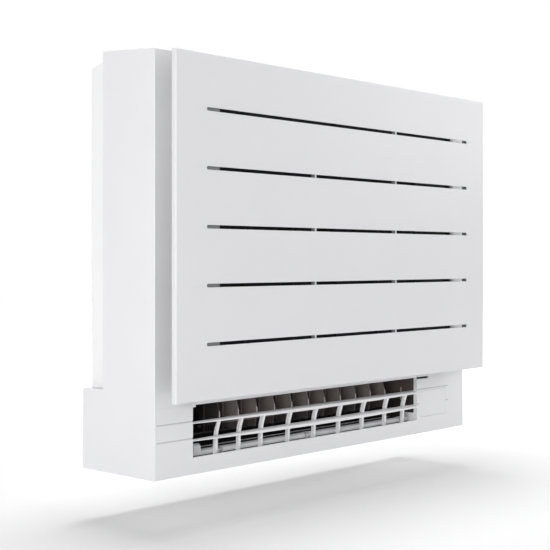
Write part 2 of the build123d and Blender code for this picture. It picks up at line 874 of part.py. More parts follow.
# Lower duct: turns the air from the fan chamber forward to the outlet
floor_front_y = inner_face_y + seam
curve_y = duct_rear_y - duct_curve_radius
curve_z = duct_floor_z + duct_curve_radius
duct_top_z = curve_z + 45.0
duct_x = (outlet_left - duct_wall, outlet_right + duct_wall)
louvre_top_z = duct_ceiling_z - louvre_end_gap
louvre_brow_z = (louvre_nose_z[1] + louvre_top_z) / 2 - 2.0
rail_z = (louvre_bottom_z - louvre_end_gap - rail_thickness, louvre_bottom_z - louvre_end_gap)
with BuildPart() as lower_duct:
    # Curved floor that runs up into the rear wall
    with BuildSketch(Plane.YZ.offset(duct_x[0])):
        with BuildLine():
            outer_radius = duct_curve_radius + duct_wall
            Line((floor_front_y, duct_floor_z), (curve_y, duct_floor_z))
            CenterArc((curve_y, curve_z), duct_curve_radius, -90, 90)
            Line((duct_rear_y, curve_z), (duct_rear_y, duct_top_z))
            Line((duct_rear_y, duct_top_z), (duct_rear_y + duct_wall, duct_top_z))
            Line((duct_rear_y + duct_wall, duct_top_z), (duct_rear_y + duct_wall, curve_z))
            CenterArc((curve_y, curve_z), outer_radius, 0, -90)
            Line((curve_y, duct_floor_z - duct_wall), (floor_front_y, duct_floor_z - duct_wall))
            Line((floor_front_y, duct_floor_z - duct_wall), (floor_front_y, duct_floor_z))
        make_face()
    extrude(amount=duct_x[1] - duct_x[0])
    # Side walls
    for x in (duct_x[0], outlet_right):
        with BuildSketch(Plane.YZ.offset(x)):
            with BuildLine():
                Polyline(
                    (duct_rear_y, curve_z),
                    (duct_rear_y, duct_top_z),
                    (bell_rear_y, duct_top_z),
                    (bell_rear_y, duct_ceiling_z),
                    (duct_front_y, duct_ceiling_z),
                    (duct_front_y, grid_ear_top + seam),
                    (ear_rear_y + seam, grid_ear_top + seam),
                    (ear_rear_y + seam, duct_floor_z),
                    (curve_y, duct_floor_z),
                )
                CenterArc((curve_y, curve_z), duct_curve_radius, -90, 90)
            make_face()
        extrude(amount=duct_wall)
    # Ceiling, and the rail that carries the louvre blades' lower pins
    block(
        duct_x, (duct_front_y, duct_ceiling_rear_y), (duct_ceiling_z, duct_ceiling_z + duct_wall)
    )
    block(
        (duct_x[0], duct_x[1]),
        (louvre_pivot_y - rail_width / 2, louvre_pivot_y + rail_width / 2),
        rail_z,
    )
    for x in lower_louvre_x:
        round_bar(
            (x, louvre_pivot_y, rail_z[0] - 1),
            (0, 0, 1),
            louvre_pin_radius + pin_fit,
            duct_ceiling_z + duct_wall - rail_z[0] + 2,
            Mode.SUBTRACT,
        )
lower_duct.part.label = "lower_duct"
export_step(lower_duct.part, "parts/lower_duct.step")

# Lower flap: a roll along its front edge, a thin blade behind it, and a cheek at the left
with BuildPart() as lower_flap:
    flap_x = (outlet_left + flap_end_gap, outlet_right - flap_end_gap)
    round_bar(
        (flap_x[0], flap_pivot_y, flap_pivot_z), (1, 0, 0), flap_roll_radius, flap_x[1] - flap_x[0]
    )
    blade_top = flap_pivot_z + flap_roll_radius
    blade_rear = flap_pivot_y + flap_blade
    blade_end_top = blade_top - flap_blade_drop
    prism_x(
        [
            (flap_pivot_y, blade_top),
            (blade_rear - 1.5, blade_end_top),
            (blade_rear - 1.5, blade_end_top + flap_lip),
            (blade_rear, blade_end_top + flap_lip),
            (blade_rear, blade_end_top - flap_blade_thickness / 2),
            (flap_pivot_y + 4.0, blade_top - flap_blade_thickness),
            (flap_pivot_y, blade_top - 2 * flap_blade_thickness),
        ],
        flap_x,
    )
    cheek_x = (outlet_left + cheek_inset, outlet_left + cheek_inset + cheek_width)
    cheek_y = (flap_pivot_y - flap_roll_radius, flap_pivot_y + flap_roll_radius)
    block(cheek_x, cheek_y, (flap_pivot_z, flap_pivot_z + cheek_height))
    round_bar(
        (cheek_x[0], flap_pivot_y, flap_pivot_z + cheek_height),
        (1, 0, 0),
        flap_roll_radius,
        cheek_width,
    )
    for x in hook_places:
        block(
            (x - hook_notch / 2, x + hook_notch / 2),
            (flap_pivot_y - flap_roll_radius - 1, flap_pivot_y + flap_roll_radius),
            (flap_pivot_z - flap_roll_radius - 1, blade_top + 1),
            Mode.SUBTRACT,
        )
    pin_left = outlet_left - grid_plate
    pin_right = outlet_right + grid_plate + stepper_engagement
    round_bar(
        (pin_left, flap_pivot_y, flap_pivot_z), (1, 0, 0), flap_pin_radius, pin_right - pin_left
    )
lower_flap.part.label = "lower_flap"
export_step(lower_flap.part, "parts/lower_flap.step")

# Vertical louvre blades of the lower outlet, each on its own pins, the last one driven
for number, x in enumerate(lower_louvre_x, 1):
    driven = number == lower_louvre_count
    top_pin = louvre_end_gap + duct_wall + (stepper_engagement if driven else 0.5)
    with BuildPart() as louvre:
        prism_x(
            [
                (louvre_front_y + louvre_foot_setback, louvre_bottom_z),
                (louvre_front_y, louvre_nose_z[0]),
                (louvre_front_y, louvre_nose_z[1]),
                (louvre_front_y + louvre_brow_setback, louvre_brow_z),
                (louvre_front_y + louvre_top_setback, louvre_top_z),
                (louvre_rear_y + louvre_tail, louvre_top_z),
                (louvre_rear_y + louvre_tail, louvre_bottom_z + louvre_tail_lift),
                (louvre_rear_y, louvre_bottom_z + louvre_tail_lift),
                (louvre_rear_y, louvre_bottom_z),
            ],
            (x - louvre_thickness / 2, x + louvre_thickness / 2),
        )
        round_bar(
            (x, louvre_pivot_y, rail_z[0]),
            (0, 0, 1),
            louvre_pin_radius,
            louvre_top_z - rail_z[0] + top_pin,
        )
        block(
            (x - tie_bar_width / 2, x + tie_bar_width / 2),
            (louvre_pivot_y + 3.0, crank_y + tie_bar_width / 2),
            (louvre_bottom_z, louvre_bottom_z + 2.0),
        )
        round_bar(
            (x, crank_y, louvre_bottom_z + 2.0), (0, 0, 1), crank_pin_radius, tie_bar_thickness + 1.5
        )
    louvre.part.label = f"lower_louvre_{number:02d}"
    export_step(louvre.part, f"parts/lower_louvre_{number:02d}.step")

# Tie bar that turns the lower louvre blades together
with BuildPart() as lower_tie_bar:
    bar_z = (louvre_bottom_z + 2.3, louvre_bottom_z + 2.3 + tie_bar_thickness)
    block(
        (lower_louvre_x[0] - 5.0, lower_louvre_x[-1] + 5.0),
        (crank_y - tie_bar_width / 2, crank_y + tie_bar_width / 2),
        bar_z,
    )
    for x in lower_louvre_x:
        round_bar(
            (x, crank_y, bar_z[0] - 1),
            (0, 0, 1),
            crank_pin_radius + pin_fit,
            tie_bar_thickness + 2,
            Mode.SUBTRACT,
        )
lower_tie_bar.part.label = "lower_tie_bar"
export_step(lower_tie_bar.part, "parts/lower_tie_bar.step")

# ---- Upper outlet ---------------------------------------------------------------------


def duct_lid_z(y):
    """Top of the upper duct, just under the casing's sloping top."""
    return top_z(y) - wall - seam


# Upper duct: leans forward over the heat exchanger to the opening in the top
with BuildPart() as upper_duct:
    front_wall = [
        (bell_rear_y, exchanger_top),
        (upper_front_y, upper_duct_neck_z),
        (upper_front_y, duct_lid_z(upper_front_y)),
    ]
    rear_wall = [
        (upper_rear_y, duct_lid_z(upper_rear_y)),
        (upper_rear_y, upper_duct_rear_neck_z),
        (duct_rear_y, upper_duct_rear_low_z),
    ]
    prism_x(front_wall + [(y - duct_wall, z) for y, z in reversed(front_wall)], duct_x)
    prism_x(
        rear_wall + [(y + duct_wall, z) for y, z in reversed(rear_wall)],
        duct_x,
    )
    for x in ((duct_x[0], outlet_left), (outlet_right, duct_x[1])):
        prism_x([(bell_rear_y, upper_duct_rear_low_z)] + front_wall + rear_wall, x)
    # Bearings for the flap's pins and for the louvre blades' pins
    round_bar(
        (duct_x[0] - 1, upper_pivot_y, upper_pivot_z),
        (1, 0, 0),
        flap_pin_radius + pin_fit,
        duct_x[1] - duct_x[0] + 2,
        Mode.SUBTRACT,
    )
    for x in upper_louvre_x:
        round_bar(
            (x, upper_front_y - duct_wall - 1, upper_louvre_pivot_z),
            (0, 1, 0),
            louvre_pin_radius + pin_fit,
            upper_opening_depth + 2 * duct_wall + 2,
            Mode.SUBTRACT,
        )
upper_duct.part.label = "upper_duct"
export_step(upper_duct.part, "parts/upper_duct.step")

# Upper flap: closes the opening in the top, hinged along its rear edge
with BuildPart() as upper_flap:
    upper_flap_x = (outlet_left + flap_end_gap, outlet_right - flap_end_gap)
    nose_y = upper_front_y + upper_flap_gap
    prism_x(
        [
            (nose_y, top_z(nose_y)),
            (upper_pivot_y, top_z(upper_pivot_y)),
            (upper_pivot_y, top_z(upper_pivot_y) - upper_flap_thickness),
            (nose_y, top_z(nose_y) - upper_flap_thickness),
        ],
        upper_flap_x,
    )
    round_bar(
        (upper_flap_x[0], upper_pivot_y, upper_pivot_z),
        (1, 0, 0),
        upper_roll_radius,
        upper_flap_x[1] - upper_flap_x[0],
    )
    for x in spread(upper_flap_x[0] + 1.0, upper_flap_x[1] - 1.0, 6):
        prism_x(
            [
                (nose_y + 8.0, top_z(nose_y) - upper_flap_thickness),
                (upper_pivot_y, top_z(upper_pivot_y) - upper_flap_thickness),
                (upper_pivot_y, upper_pivot_z - 2.0),
            ],
            (x - 1.0, x + 1.0),
        )
    round_bar(
        (duct_x[0], upper_pivot_y, upper_pivot_z),
        (1, 0, 0),
        flap_pin_radius,
        duct_x[1] + stepper_engagement - duct_x[0],
    )
upper_flap.part.label = "upper_flap"
export_step(upper_flap.part, "parts/upper_flap.step")

# Louvre blades of the upper outlet, each on a pin at its front and rear
upper_blade_y = (upper_front_y + louvre_end_gap, upper_rear_y - louvre_end_gap)
upper_crank_z = upper_louvre_pivot_z + crank_reach
for number, x in enumerate(upper_louvre_x, 1):
    driven = number == upper_louvre_count
    rear_pin = duct_wall + (stepper_engagement if driven else 0.5)
    with BuildPart() as louvre:
        notch_y = upper_blade_y[1] - upper_bar_notch
        notch_z = upper_louvre_pivot_z + 6.0
        blade_top_z = upper_louvre_bottom_z + upper_louvre_chord
        prism_x(
            [
                (upper_blade_y[0], upper_louvre_bottom_z),
                (upper_blade_y[1], upper_louvre_bottom_z),
                (upper_blade_y[1], notch_z),
                (notch_y, notch_z),
                (notch_y, blade_top_z),
                (upper_blade_y[0], blade_top_z),
            ],
            (x - louvre_thickness / 2, x + louvre_thickness / 2),
        )
        round_bar(
            (x, upper_front_y - duct_wall, upper_louvre_pivot_z),
            (0, 1, 0),
            louvre_pin_radius,
            upper_opening_depth + duct_wall + rear_pin,
        )
        round_bar(
            (x, notch_y - 4.0, upper_crank_z), (0, 1, 0), crank_pin_radius, upper_bar_notch + 3.0
        )
    louvre.part.label = f"upper_louvre_{number}"
    export_step(louvre.part, f"parts/upper_louvre_{number}.step")

# Tie bar that turns the upper louvre blades together
with BuildPart() as upper_tie_bar:
    bar_y = (notch_y + 2.5, notch_y + 2.5 + tie_bar_thickness)
    block(
        (upper_louvre_x[0] - 5.0, upper_louvre_x[-1] + 5.0),
        bar_y,
        (upper_crank_z - tie_bar_width / 2, upper_crank_z + tie_bar_width / 2),
    )
    for x in upper_louvre_x:
        round_bar(
            (x, bar_y[0] - 1, upper_crank_z),
            (0, 1, 0),
            crank_pin_radius + pin_fit,
            tie_bar_thickness + 2,
            Mode.SUBTRACT,
        )
upper_tie_bar.part.label = "upper_tie_bar"
export_step(upper_tie_bar.part, "parts/upper_tie_bar.step")


def stepper(shaft, direction, towards, bore):
    """One stepping motor: an eccentric can with two ears, and a socket for the pin it turns."""
    shaft = Vector(*shaft)
    direction = Vector(*direction)
    towards = Vector(*towards)
    across = direction.cross(towards)
    middle = shaft + towards * stepper_offset
    round_bar(middle, direction, stepper_radius, stepper_length)
    with BuildSketch(Plane(origin=middle, x_dir=across, z_dir=direction), mode=Mode.PRIVATE) as ears:
        SlotOverall(stepper_ear, 7.0)
        with Locations((stepper_ear / 2 - 3.5, 0), (3.5 - stepper_ear / 2, 0)):
            Circle(1.6, mode=Mode.SUBTRACT)
    extrude(ears.sketch, amount=1.0)
    round_bar(shaft, direction, bore, stepper_engagement + 0.5, Mode.SUBTRACT)


# Stepping motors of the two flaps and the two sets of louvre blades
with BuildPart() as swing_motors:
    stepper(
        (outlet_right + grid_plate, flap_pivot_y, flap_pivot_z),
        (1, 0, 0),
        (0, 0, 1),
        flap_pin_radius + pin_fit,
    )
    stepper(
        (duct_x[1], upper_pivot_y, upper_pivot_z), (1, 0, 0), (0, 0, -1), flap_pin_radius + pin_fit
    )
    stepper(
        (lower_louvre_x[-1], louvre_pivot_y, duct_ceiling_z + duct_wall),
        (0, 0, 1),
        (0, -1, 0),
        louvre_pin_radius + pin_fit,
    )
    stepper(
        (upper_louvre_x[-1], upper_rear_y + duct_wall, upper_louvre_pivot_z),
        (0, 1, 0),
        (0, 0, 1),
        louvre_pin_radius + pin_fit,
    )
swing_motors.part.label = "swing_motors"
export_step(swing_motors.part, "parts/swing_motors.step")

# ---- Heat exchanger -------------------------------------------------------------------

# Fin pack: an open-ended block that the end plates close
exchanger_x = (exchanger_left, exchanger_right)
with BuildPart() as fin_pack:
    block(exchanger_x, (exchanger_front_y, exchanger_rear_y), (exchanger_bottom, exchanger_top))
    block(
        (exchanger_left - 1, exchanger_right + 1),
        (exchanger_front_y + fin_wall, exchanger_rear_y - fin_wall),
        (exchanger_bottom + fin_wall, exchanger_top - fin_wall),
        Mode.SUBTRACT,
    )
fin_pack.part.label = "fin_pack"
export_step(fin_pack.part, "parts/fin_pack.step")

tube_pitch = (exchanger_top - exchanger_bottom) / tube_rows
tube_levels = [exchanger_bottom + (n + 0.5) * tube_pitch for n in range(tube_rows)]
row_middle = (exchanger_front_y + exchanger_rear_y) / 2
tube_y = (row_middle - tube_row_gap / 2, row_middle + tube_row_gap / 2)
tube_ends = (exchanger_left - end_plate - tube_stub, exchanger_right + end_plate + tube_stub)

# End plates, which hold the tubes and stand in the drain pan
with BuildPart() as end_plates:
    for x in (
        (exchanger_left - end_plate, exchanger_left),
        (exchanger_right, exchanger_right + end_plate),
    ):
        block(
            x,
            (exchanger_front_y - 1.5, exchanger_rear_y),
            (pan_bottom + pan_wall, exchanger_top + 2.0),
        )
        for y in tube_y:
            for z in tube_levels:
                round_bar(
                    (x[0] - 1, y, z), (1, 0, 0), tube_radius + pin_fit, end_plate + 2, Mode.SUBTRACT
                )
end_plates.part.label = "end_plates"
export_step(end_plates.part, "parts/end_plates.step")


# Copper tubes: one path up through the front row and down through the rear row
with BuildPart() as exchanger_tubes:
    bend = tube_pitch / 2
    with BuildLine():
        for y, levels in ((tube_y[0], tube_levels), (tube_y[1], tube_levels[::-1])):
            for n, z in enumerate(levels):
                near, far = tube_ends[::-1] if n % 2 == 0 else tube_ends
                Line((near, y, z), (far, y, z))
                if n < tube_rows - 1:
                    side = 1 if far > near else -1
                    middle_z = (z + levels[n + 1]) / 2
                    bend_x = far + side * bend
                    ThreePointArc((far, y, z), (bend_x, y, middle_z), (far, y, levels[n + 1]))
        ThreePointArc(
            (tube_ends[1], tube_y[0], tube_levels[-1]),
            (tube_ends[1] + tube_row_gap / 2, row_middle, tube_levels[-1]),
            (tube_ends[1], tube_y[1], tube_levels[-1]),
        )
    with BuildSketch(Plane(origin=(tube_ends[1], tube_y[0], tube_levels[0]), z_dir=(-1, 0, 0))):
        Circle(tube_radius)
        Circle(tube_bore, mode=Mode.SUBTRACT)
    sweep()
exchanger_tubes.part.label = "exchanger_tubes"
export_step(exchanger_tubes.part, "parts/exchanger_tubes.step")

# Drain pan under the heat exchanger
pan_x = (exchanger_left - 13.0, exchanger_right + 22.0)
pan_y = (inner_face_y + 1.0, bell_front_y)
with BuildPart() as drain_pan:
    block(pan_x, pan_y, (pan_bottom, pan_bottom + pan_height))
    block(
        (pan_x[0] + pan_wall, pan_x[1] - pan_wall),
        (pan_y[0] + pan_wall, pan_y[1] - pan_wall),
        (pan_bottom + pan_wall, pan_bottom + pan_height + 1),
        Mode.SUBTRACT,
    )
    drain_y = (pan_y[0] + pan_y[1]) / 2
    drain_z = pan_bottom + pan_height / 2
    round_bar((pan_x[1] - 3.0, drain_y, drain_z), (1, 0, 0), drain_bore, 6.0, Mode.SUBTRACT)
drain_pan.part.label = "drain_pan"
export_step(drain_pan.part, "parts/drain_pan.step")

# Drain hose, from the pan to the pipe exit in the rear frame
drain_exit = (half_width - 60.0, back_y - 2.0, pipe_exit_bottom + 16.0)
with BuildPart() as drain_hose:
    with BuildLine():
        FilletPolyline(
            (pan_x[1], drain_y, drain_z),
            (drain_exit[0], drain_y, drain_z),
            (drain_exit[0], drain_y + 60.0, drain_exit[2]),
            (drain_exit[0], drain_exit[1], drain_exit[2]),
            radius=22.0,
        )
    with BuildSketch(Plane(origin=(pan_x[1], drain_y, drain_z), z_dir=(1, 0, 0))):
        Circle(drain_radius)
        Circle(drain_bore, mode=Mode.SUBTRACT)
    sweep()
drain_hose.part.label = "drain_hose"
export_step(drain_hose.part, "parts/drain_hose.step")


def refrigerant_pipe(points, bend_radius, radius):
    """A thin-walled pipe through a list of points, with equal bends."""
    with BuildLine(mode=Mode.PRIVATE) as route:
        FilletPolyline(*points, radius=bend_radius)
    with BuildSketch(Plane(origin=points[0], z_dir=(1, 0, 0)), mode=Mode.PRIVATE) as ring:
        Circle(radius)
        Circle(radius - pipe_wall, mode=Mode.SUBTRACT)
    sweep(ring.sketch, path=route.line)


# Gas pipe from the rear row, down beside the duct and back to its union; liquid pipe from
# the front row, over the gas pipe and down behind it
tube_z = tube_levels[0]
gas_x = tube_ends[1] + 10.0
gas_y = bell_rear_y + 29.0
liquid_x = tube_ends[1] + 6.0
liquid_y = gas_y + 20.0
union_end_y = back_inner_y - union_setback
union_front_y = union_end_y - 26.0
with BuildPart() as refrigerant_pipes:
    refrigerant_pipe(
        [
            (tube_ends[1], tube_y[1], tube_z),
            (gas_x, tube_y[1], tube_z),
            (gas_x, gas_y, tube_z),
            (gas_x, gas_y, union_z),
            (gas_union_x, gas_y, union_z),
            (gas_union_x, union_front_y + 6.0, union_z),
        ],
        8.0,
        gas_pipe_radius,
    )
    refrigerant_pipe(
        [
            (tube_ends[1], tube_y[0], tube_z),
            (liquid_x, tube_y[0], tube_z),
            (liquid_x, tube_y[0], tube_z + 14.0),
            (liquid_x, liquid_y, tube_z + 14.0),
            (liquid_x, liquid_y, union_z),
            (liquid_union_x, liquid_y, union_z),
            (liquid_union_x, union_front_y + 6.0, union_z),
        ],
        5.0,
        liquid_pipe_radius,
    )
refrigerant_pipes.part.label = "refrigerant_pipes"
export_step(refrigerant_pipes.part, "parts/refrigerant_pipes.step")

# Flare unions at the ends of the two pipes, facing the pipe exit
with BuildPart() as flare_unions:
    for x, pipe, thread in (
        (gas_union_x, gas_pipe_radius, gas_thread_radius),
        (liquid_union_x, liquid_pipe_radius, liquid_thread_radius),
    ):
        with BuildSketch(Plane.XZ.offset(-union_front_y)):
            with Locations((x, union_z)):
                RegularPolygon(thread + 1.6, 6)
        extrude(amount=-12.0)
        round_bar((x, union_front_y + 12.0, union_z), (0, 1, 0), thread, 14.0)
        bore = pipe - pipe_wall
        round_bar((x, union_front_y - 1, union_z), (0, 1, 0), bore, 30.0, Mode.SUBTRACT)
        round_bar((x, union_front_y - 1, union_z), (0, 1, 0), pipe, 7.0, Mode.SUBTRACT)
flare_unions.part.label = "flare_unions"
export_step(flare_unions.part, "parts/flare_unions.step")

# Thermistor clipped on a return bend at the left
with BuildPart() as coil_thermistor:
    sensor_z = tube_levels[5]
    sensor_x = tube_ends[0] + 1.0
    round_bar((sensor_x, tube_y[0] - tube_radius - 2.6, sensor_z - 9.0), (0, 0, 1), 2.5, 18.0)
coil_thermistor.part.label = "coil_thermistor"
export_step(coil_thermistor.part, "parts/coil_thermistor.step")

# ---- Fan ------------------------------------------------------------------------------

# Bell mouth: the wall behind the heat exchanger with the fan's round inlet
with BuildPart() as bell_mouth:
    block(
        (duct_x[0] - 3.0, duct_x[1] + 2.0),
        (bell_front_y, bell_rear_y),
        (duct_ceiling_z + duct_wall, exchanger_top),
    )
    round_bar(
        (centre_x, bell_front_y - 1, fan_z), (0, 1, 0), bell_mouth_radius, bell_plate + 2, Mode.SUBTRACT
    )
    with BuildSketch(Plane(origin=(centre_x, 0, fan_z), x_dir=(1, 0, 0), z_dir=(0, 0, 1))):
        with BuildLine():
            throat_y = fan_front_y + 5.0
            Polyline(
                (bell_mouth_radius, bell_front_y),
                (bell_mouth_radius, bell_rear_y),
                (bell_throat_radius + 4.0, bell_rear_y + 2.0),
                (bell_throat_radius + bell_plate, throat_y),
                (bell_throat_radius, throat_y),
                (bell_throat_radius, bell_rear_y + 1.0),
                (bell_throat_radius + 4.0, bell_front_y),
                close=True,
            )
        make_face()
    revolve(axis=Axis((centre_x, 0, fan_z), (0, 1, 0)))
bell_mouth.part.label = "bell_mouth"
export_step(bell_mouth.part, "parts/bell_mouth.step")

# Side guides that turn the fan's air up and down
with BuildPart() as side_guides:
    guide_low = duct_top_z + 1.0
    guide_high = upper_duct_rear_low_z - 1.0
    for side, wall_x in ((-1, outlet_left), (1, outlet_right)):
        waist_x = centre_x + side * guide_waist
        inner_x = wall_x - side * guide_wall
        with BuildSketch(Plane.XZ.offset(-bell_rear_y)):
            with BuildLine():
                ThreePointArc((inner_x, guide_low), (waist_x, fan_z), (inner_x, guide_high))
                Line((inner_x, guide_high), (wall_x, guide_high))
                ThreePointArc(
                    (wall_x, guide_high), (waist_x + side * guide_wall, fan_z), (wall_x, guide_low)
                )
                Line((wall_x, guide_low), (inner_x, guide_low))
            make_face()
        extrude(amount=-(back_inner_y - bell_rear_y))
side_guides.part.label = "side_guides"
export_step(side_guides.part, "parts/side_guides.step")

# Turbo fan: a backplate with a domed hub, backward-curved blades and a shroud
with BuildPart() as turbo_fan:
    plate_y = fan_rear_y - fan_plate
    with BuildSketch(Plane(origin=(centre_x, 0, fan_z), x_dir=(1, 0, 0), z_dir=(0, 0, 1))):
        with BuildLine():
            hub_front_y = fan_front_y + 8.0
            Line((shaft_radius + pin_fit, hub_front_y), (fan_hub_radius, hub_front_y))
            ThreePointArc(
                (fan_hub_radius, hub_front_y),
                (fan_dome_radius - 18.0, hub_front_y + 12.0),
                (fan_dome_radius, plate_y),
            )
            Line((fan_dome_radius, plate_y), (fan_radius, plate_y))
            Line((fan_radius, plate_y), (fan_radius, fan_rear_y))
            Line((fan_radius, fan_rear_y), (fan_dome_radius - 4.0, fan_rear_y))
            ThreePointArc(
                (fan_dome_radius - 4.0, fan_rear_y),
                (fan_dome_radius - 22.0, hub_front_y + 15.0),
                (fan_hub_radius, hub_front_y + 4.0),
            )
            Line((fan_hub_radius, hub_front_y + 4.0), (fan_hub_radius, fan_rear_y))
            Line((fan_hub_radius, fan_rear_y), (shaft_radius + pin_fit, fan_rear_y))
            Line((shaft_radius + pin_fit, fan_rear_y), (shaft_radius + pin_fit, hub_front_y))
        make_face()
    revolve(axis=Axis((centre_x, 0, fan_z), (0, 1, 0)))
    with BuildSketch(Plane(origin=(centre_x, 0, fan_z), x_dir=(1, 0, 0), z_dir=(0, 0, 1))):
        with BuildLine():
            Polyline(
                (fan_inlet_radius, fan_front_y),
                (fan_inlet_radius + 2.5, fan_front_y),
                (fan_inlet_radius + 5.0, fan_front_y + 7.0),
                (fan_radius, fan_front_y + 13.0),
                (fan_radius, fan_front_y + 15.5),
                (fan_inlet_radius + 3.0, fan_front_y + 9.5),
                close=True,
            )
        make_face()
    revolve(axis=Axis((centre_x, 0, fan_z), (0, 1, 0)))
    shroud_y = fan_front_y + 11.0
    for n in range(fan_blades):
        turn = radians(n * 360 / fan_blades)
        root = Vector(centre_x + 92 * cos(turn), fan_z + 92 * sin(turn))
        belly_turn = turn + radians(14)
        belly = Vector(centre_x + 134 * cos(belly_turn), fan_z + 134 * sin(belly_turn))
        tip_turn = turn + radians(38)
        tip = Vector(centre_x + 162 * cos(tip_turn), fan_z + 162 * sin(tip_turn))
        with BuildSketch(Plane.XZ.offset(-plate_y)):
            with BuildLine():
                ThreePointArc(root, belly, tip)
                offset(amount=fan_blade_thickness / 2, side=Side.BOTH)
            make_face()
        extrude(amount=plate_y - shroud_y)
turbo_fan.part.label = "turbo_fan"
export_step(turbo_fan.part, "parts/turbo_fan.step")

# Nut that holds the fan on the shaft
with BuildPart() as fan_nut:
    with BuildSketch(Plane.XZ.offset(-hub_front_y)):
        with Locations((centre_x, fan_z)):
            RegularPolygon(nut_size, 6)
            Circle(shaft_radius + pin_fit, mode=Mode.SUBTRACT)
    extrude(amount=nut_height)
fan_nut.part.label = "fan_nut"
export_step(fan_nut.part, "parts/fan_nut.step")

# Fan motor: body with a shaft that runs forward through the hub
with BuildPart() as fan_motor:
    round_bar((centre_x, motor_front_y, fan_z), (0, 1, 0), motor_radius, motor_length)
    fillet(fan_motor.edges().group_by(Axis.Y)[0], 5.0)
    round_bar((centre_x, motor_front_y - 3.0, fan_z), (0, 1, 0), 12.0, 4.0)
fan_motor.part.label = "fan_motor"
export_step(fan_motor.part, "parts/fan_motor.step")

# Motor shaft, which turns with the fan
with BuildPart() as fan_shaft:
    shaft_start = hub_front_y - nut_height - 2.0
    round_bar(
        (centre_x, shaft_start, fan_z),
        (0, 1, 0),
        shaft_radius,
        motor_front_y - 3.0 - seam - shaft_start,
    )
fan_shaft.part.label = "fan_shaft"
export_step(fan_shaft.part, "parts/fan_shaft.step")

# Motor bracket, on the rear frame's four bosses
with BuildPart() as motor_bracket:
    bracket = (motor_rear_y, motor_rear_y + bracket_plate)
    with BuildSketch(Plane.XZ.offset(-bracket[0])):
        with Locations((centre_x, fan_z)):
            RectangleRounded(bracket_size, bracket_size, 10.0)
            with GridLocations(bracket_hole_spacing, bracket_hole_spacing, 2, 2):
                Circle(screw_shank_radius + screw_clearance, mode=Mode.SUBTRACT)
    extrude(amount=-bracket_plate)
motor_bracket.part.label = "motor_bracket"
export_step(motor_bracket.part, "parts/motor_bracket.step")

# ---- Electrical compartment -----------------------------------------------------------

# Partition between the pipes and the electrical box
with BuildPart() as partition:
    block(
        (partition_x, partition_x + 1.5),
        (inner_face_y + 1.0, back_inner_y),
        (pan_bottom + pan_height + 3.0, box_top + 20.0),
    )
partition.part.label = "partition"
export_step(partition.part, "parts/partition.step")

# Electrical box: an open-fronted steel box on the partition
with BuildPart() as electrical_box:
    block((partition_x + 1.5, box_right), (box_front_y, box_rear_y), (box_bottom, box_top))
    block(
        (partition_x + 1.5 + box_wall, box_right - box_wall),
        (box_front_y - 1, box_rear_y - box_wall),
        (box_bottom + box_wall, box_top - box_wall),
        Mode.SUBTRACT,
    )
electrical_box.part.label = "electrical_box"
export_step(electrical_box.part, "parts/electrical_box.step")

with BuildPart() as electrical_box_cover:
    block(
        (partition_x + 1.5, box_right),
        (box_front_y - box_wall, box_front_y),
        (box_bottom, box_top),
    )
electrical_box_cover.part.label = "electrical_box_cover"
export_step(electrical_box_cover.part, "parts/electrical_box_cover.step")

# Control board with its larger components, on the back of the box
board_left = partition_x + 1.5 + box_wall + 4.0
board_right = box_right - box_wall - 4.0
pcb_y = box_rear_y - box_wall - 8.0
with BuildPart() as control_board:
    block(
        (board_left, board_right),
        (pcb_y, pcb_y + board_thickness),
        (box_bottom + 80.0, box_top - 12.0),
    )
    for x in (board_left + 6.0, board_right - 6.0):
        for z in (box_bottom + 88.0, box_top - 20.0):
            round_bar((x, pcb_y + board_thickness, z), (0, 1, 0), 3.0, 8.0 - board_thickness)
    for x, z, radius, tall in (
        (board_left + 18.0, box_top - 60.0, 9.0, 30.0),
        (board_left + 18.0, box_top - 84.0, 9.0, 30.0),
        (board_right - 14.0, box_top - 110.0, 6.0, 18.0),
    ):
        round_bar((x, pcb_y - tall, z), (0, 1, 0), radius, tall)
    block(
        (board_left + 8.0, board_right - 20.0),
        (pcb_y - 26.0, pcb_y),
        (box_bottom + 120.0, box_bottom + 160.0),
    )
control_board.part.label = "control_board"
export_step(control_board.part, "parts/control_board.step")

# Terminal block in the lower part of the box
with BuildPart() as terminal_block:
    block(
        (board_left, board_right),
        (box_rear_y - box_wall - 22.0, box_rear_y - box_wall),
        (box_bottom + 24.0, box_bottom + 46.0),
    )
    for x in spread(board_left + 9.0, board_right - 9.0, 4):
        round_bar(
            (x, box_rear_y - box_wall - 23.0, box_bottom + 35.0), (0, 1, 0), 4.0, 9.0, Mode.SUBTRACT
        )
        round_bar((x, box_rear_y - box_wall - 17.0, box_bottom + 35.0), (0, 1, 0), 3.2, 3.5)
terminal_block.part.label = "terminal_block"
export_step(terminal_block.part, "parts/terminal_block.step")

# ---- Air filter -----------------------------------------------------------------------

# Filter frame, which slides up out of the casing's channels
with BuildPart() as filter_frame:
    filter_y = (filter_front_y, filter_rear_y)
    filter_x = (filter_left, filter_right)
    filter_z = (filter_bottom, filter_top)
    block(filter_x, filter_y, filter_z)
    block(
        (filter_left + filter_border, filter_right - filter_border),
        (filter_y[0] - 1, filter_y[1] + 1),
        (filter_bottom + filter_border, filter_top - filter_border),
        Mode.SUBTRACT,
    )
    rib_y = (filter_front_y, filter_rear_y - mesh_thickness - 0.8)
    for x in spread(filter_left, filter_right, filter_columns + 1)[1:-1]:
        block((x - filter_rib / 2, x + filter_rib / 2), rib_y, filter_z)
    for z in spread(filter_bottom, filter_top, filter_rows + 1)[1:-1]:
        block(filter_x, rib_y, (z - filter_rib / 2, z + filter_rib / 2))
    # Two finger tabs along the top
    for x in (filter_left + 120.0, filter_right - 120.0):
        block((x - 20.0, x + 20.0), (filter_front_y - 2.0, filter_rear_y), (filter_top, filter_top + 8.0))
filter_frame.part.label = "filter_frame"
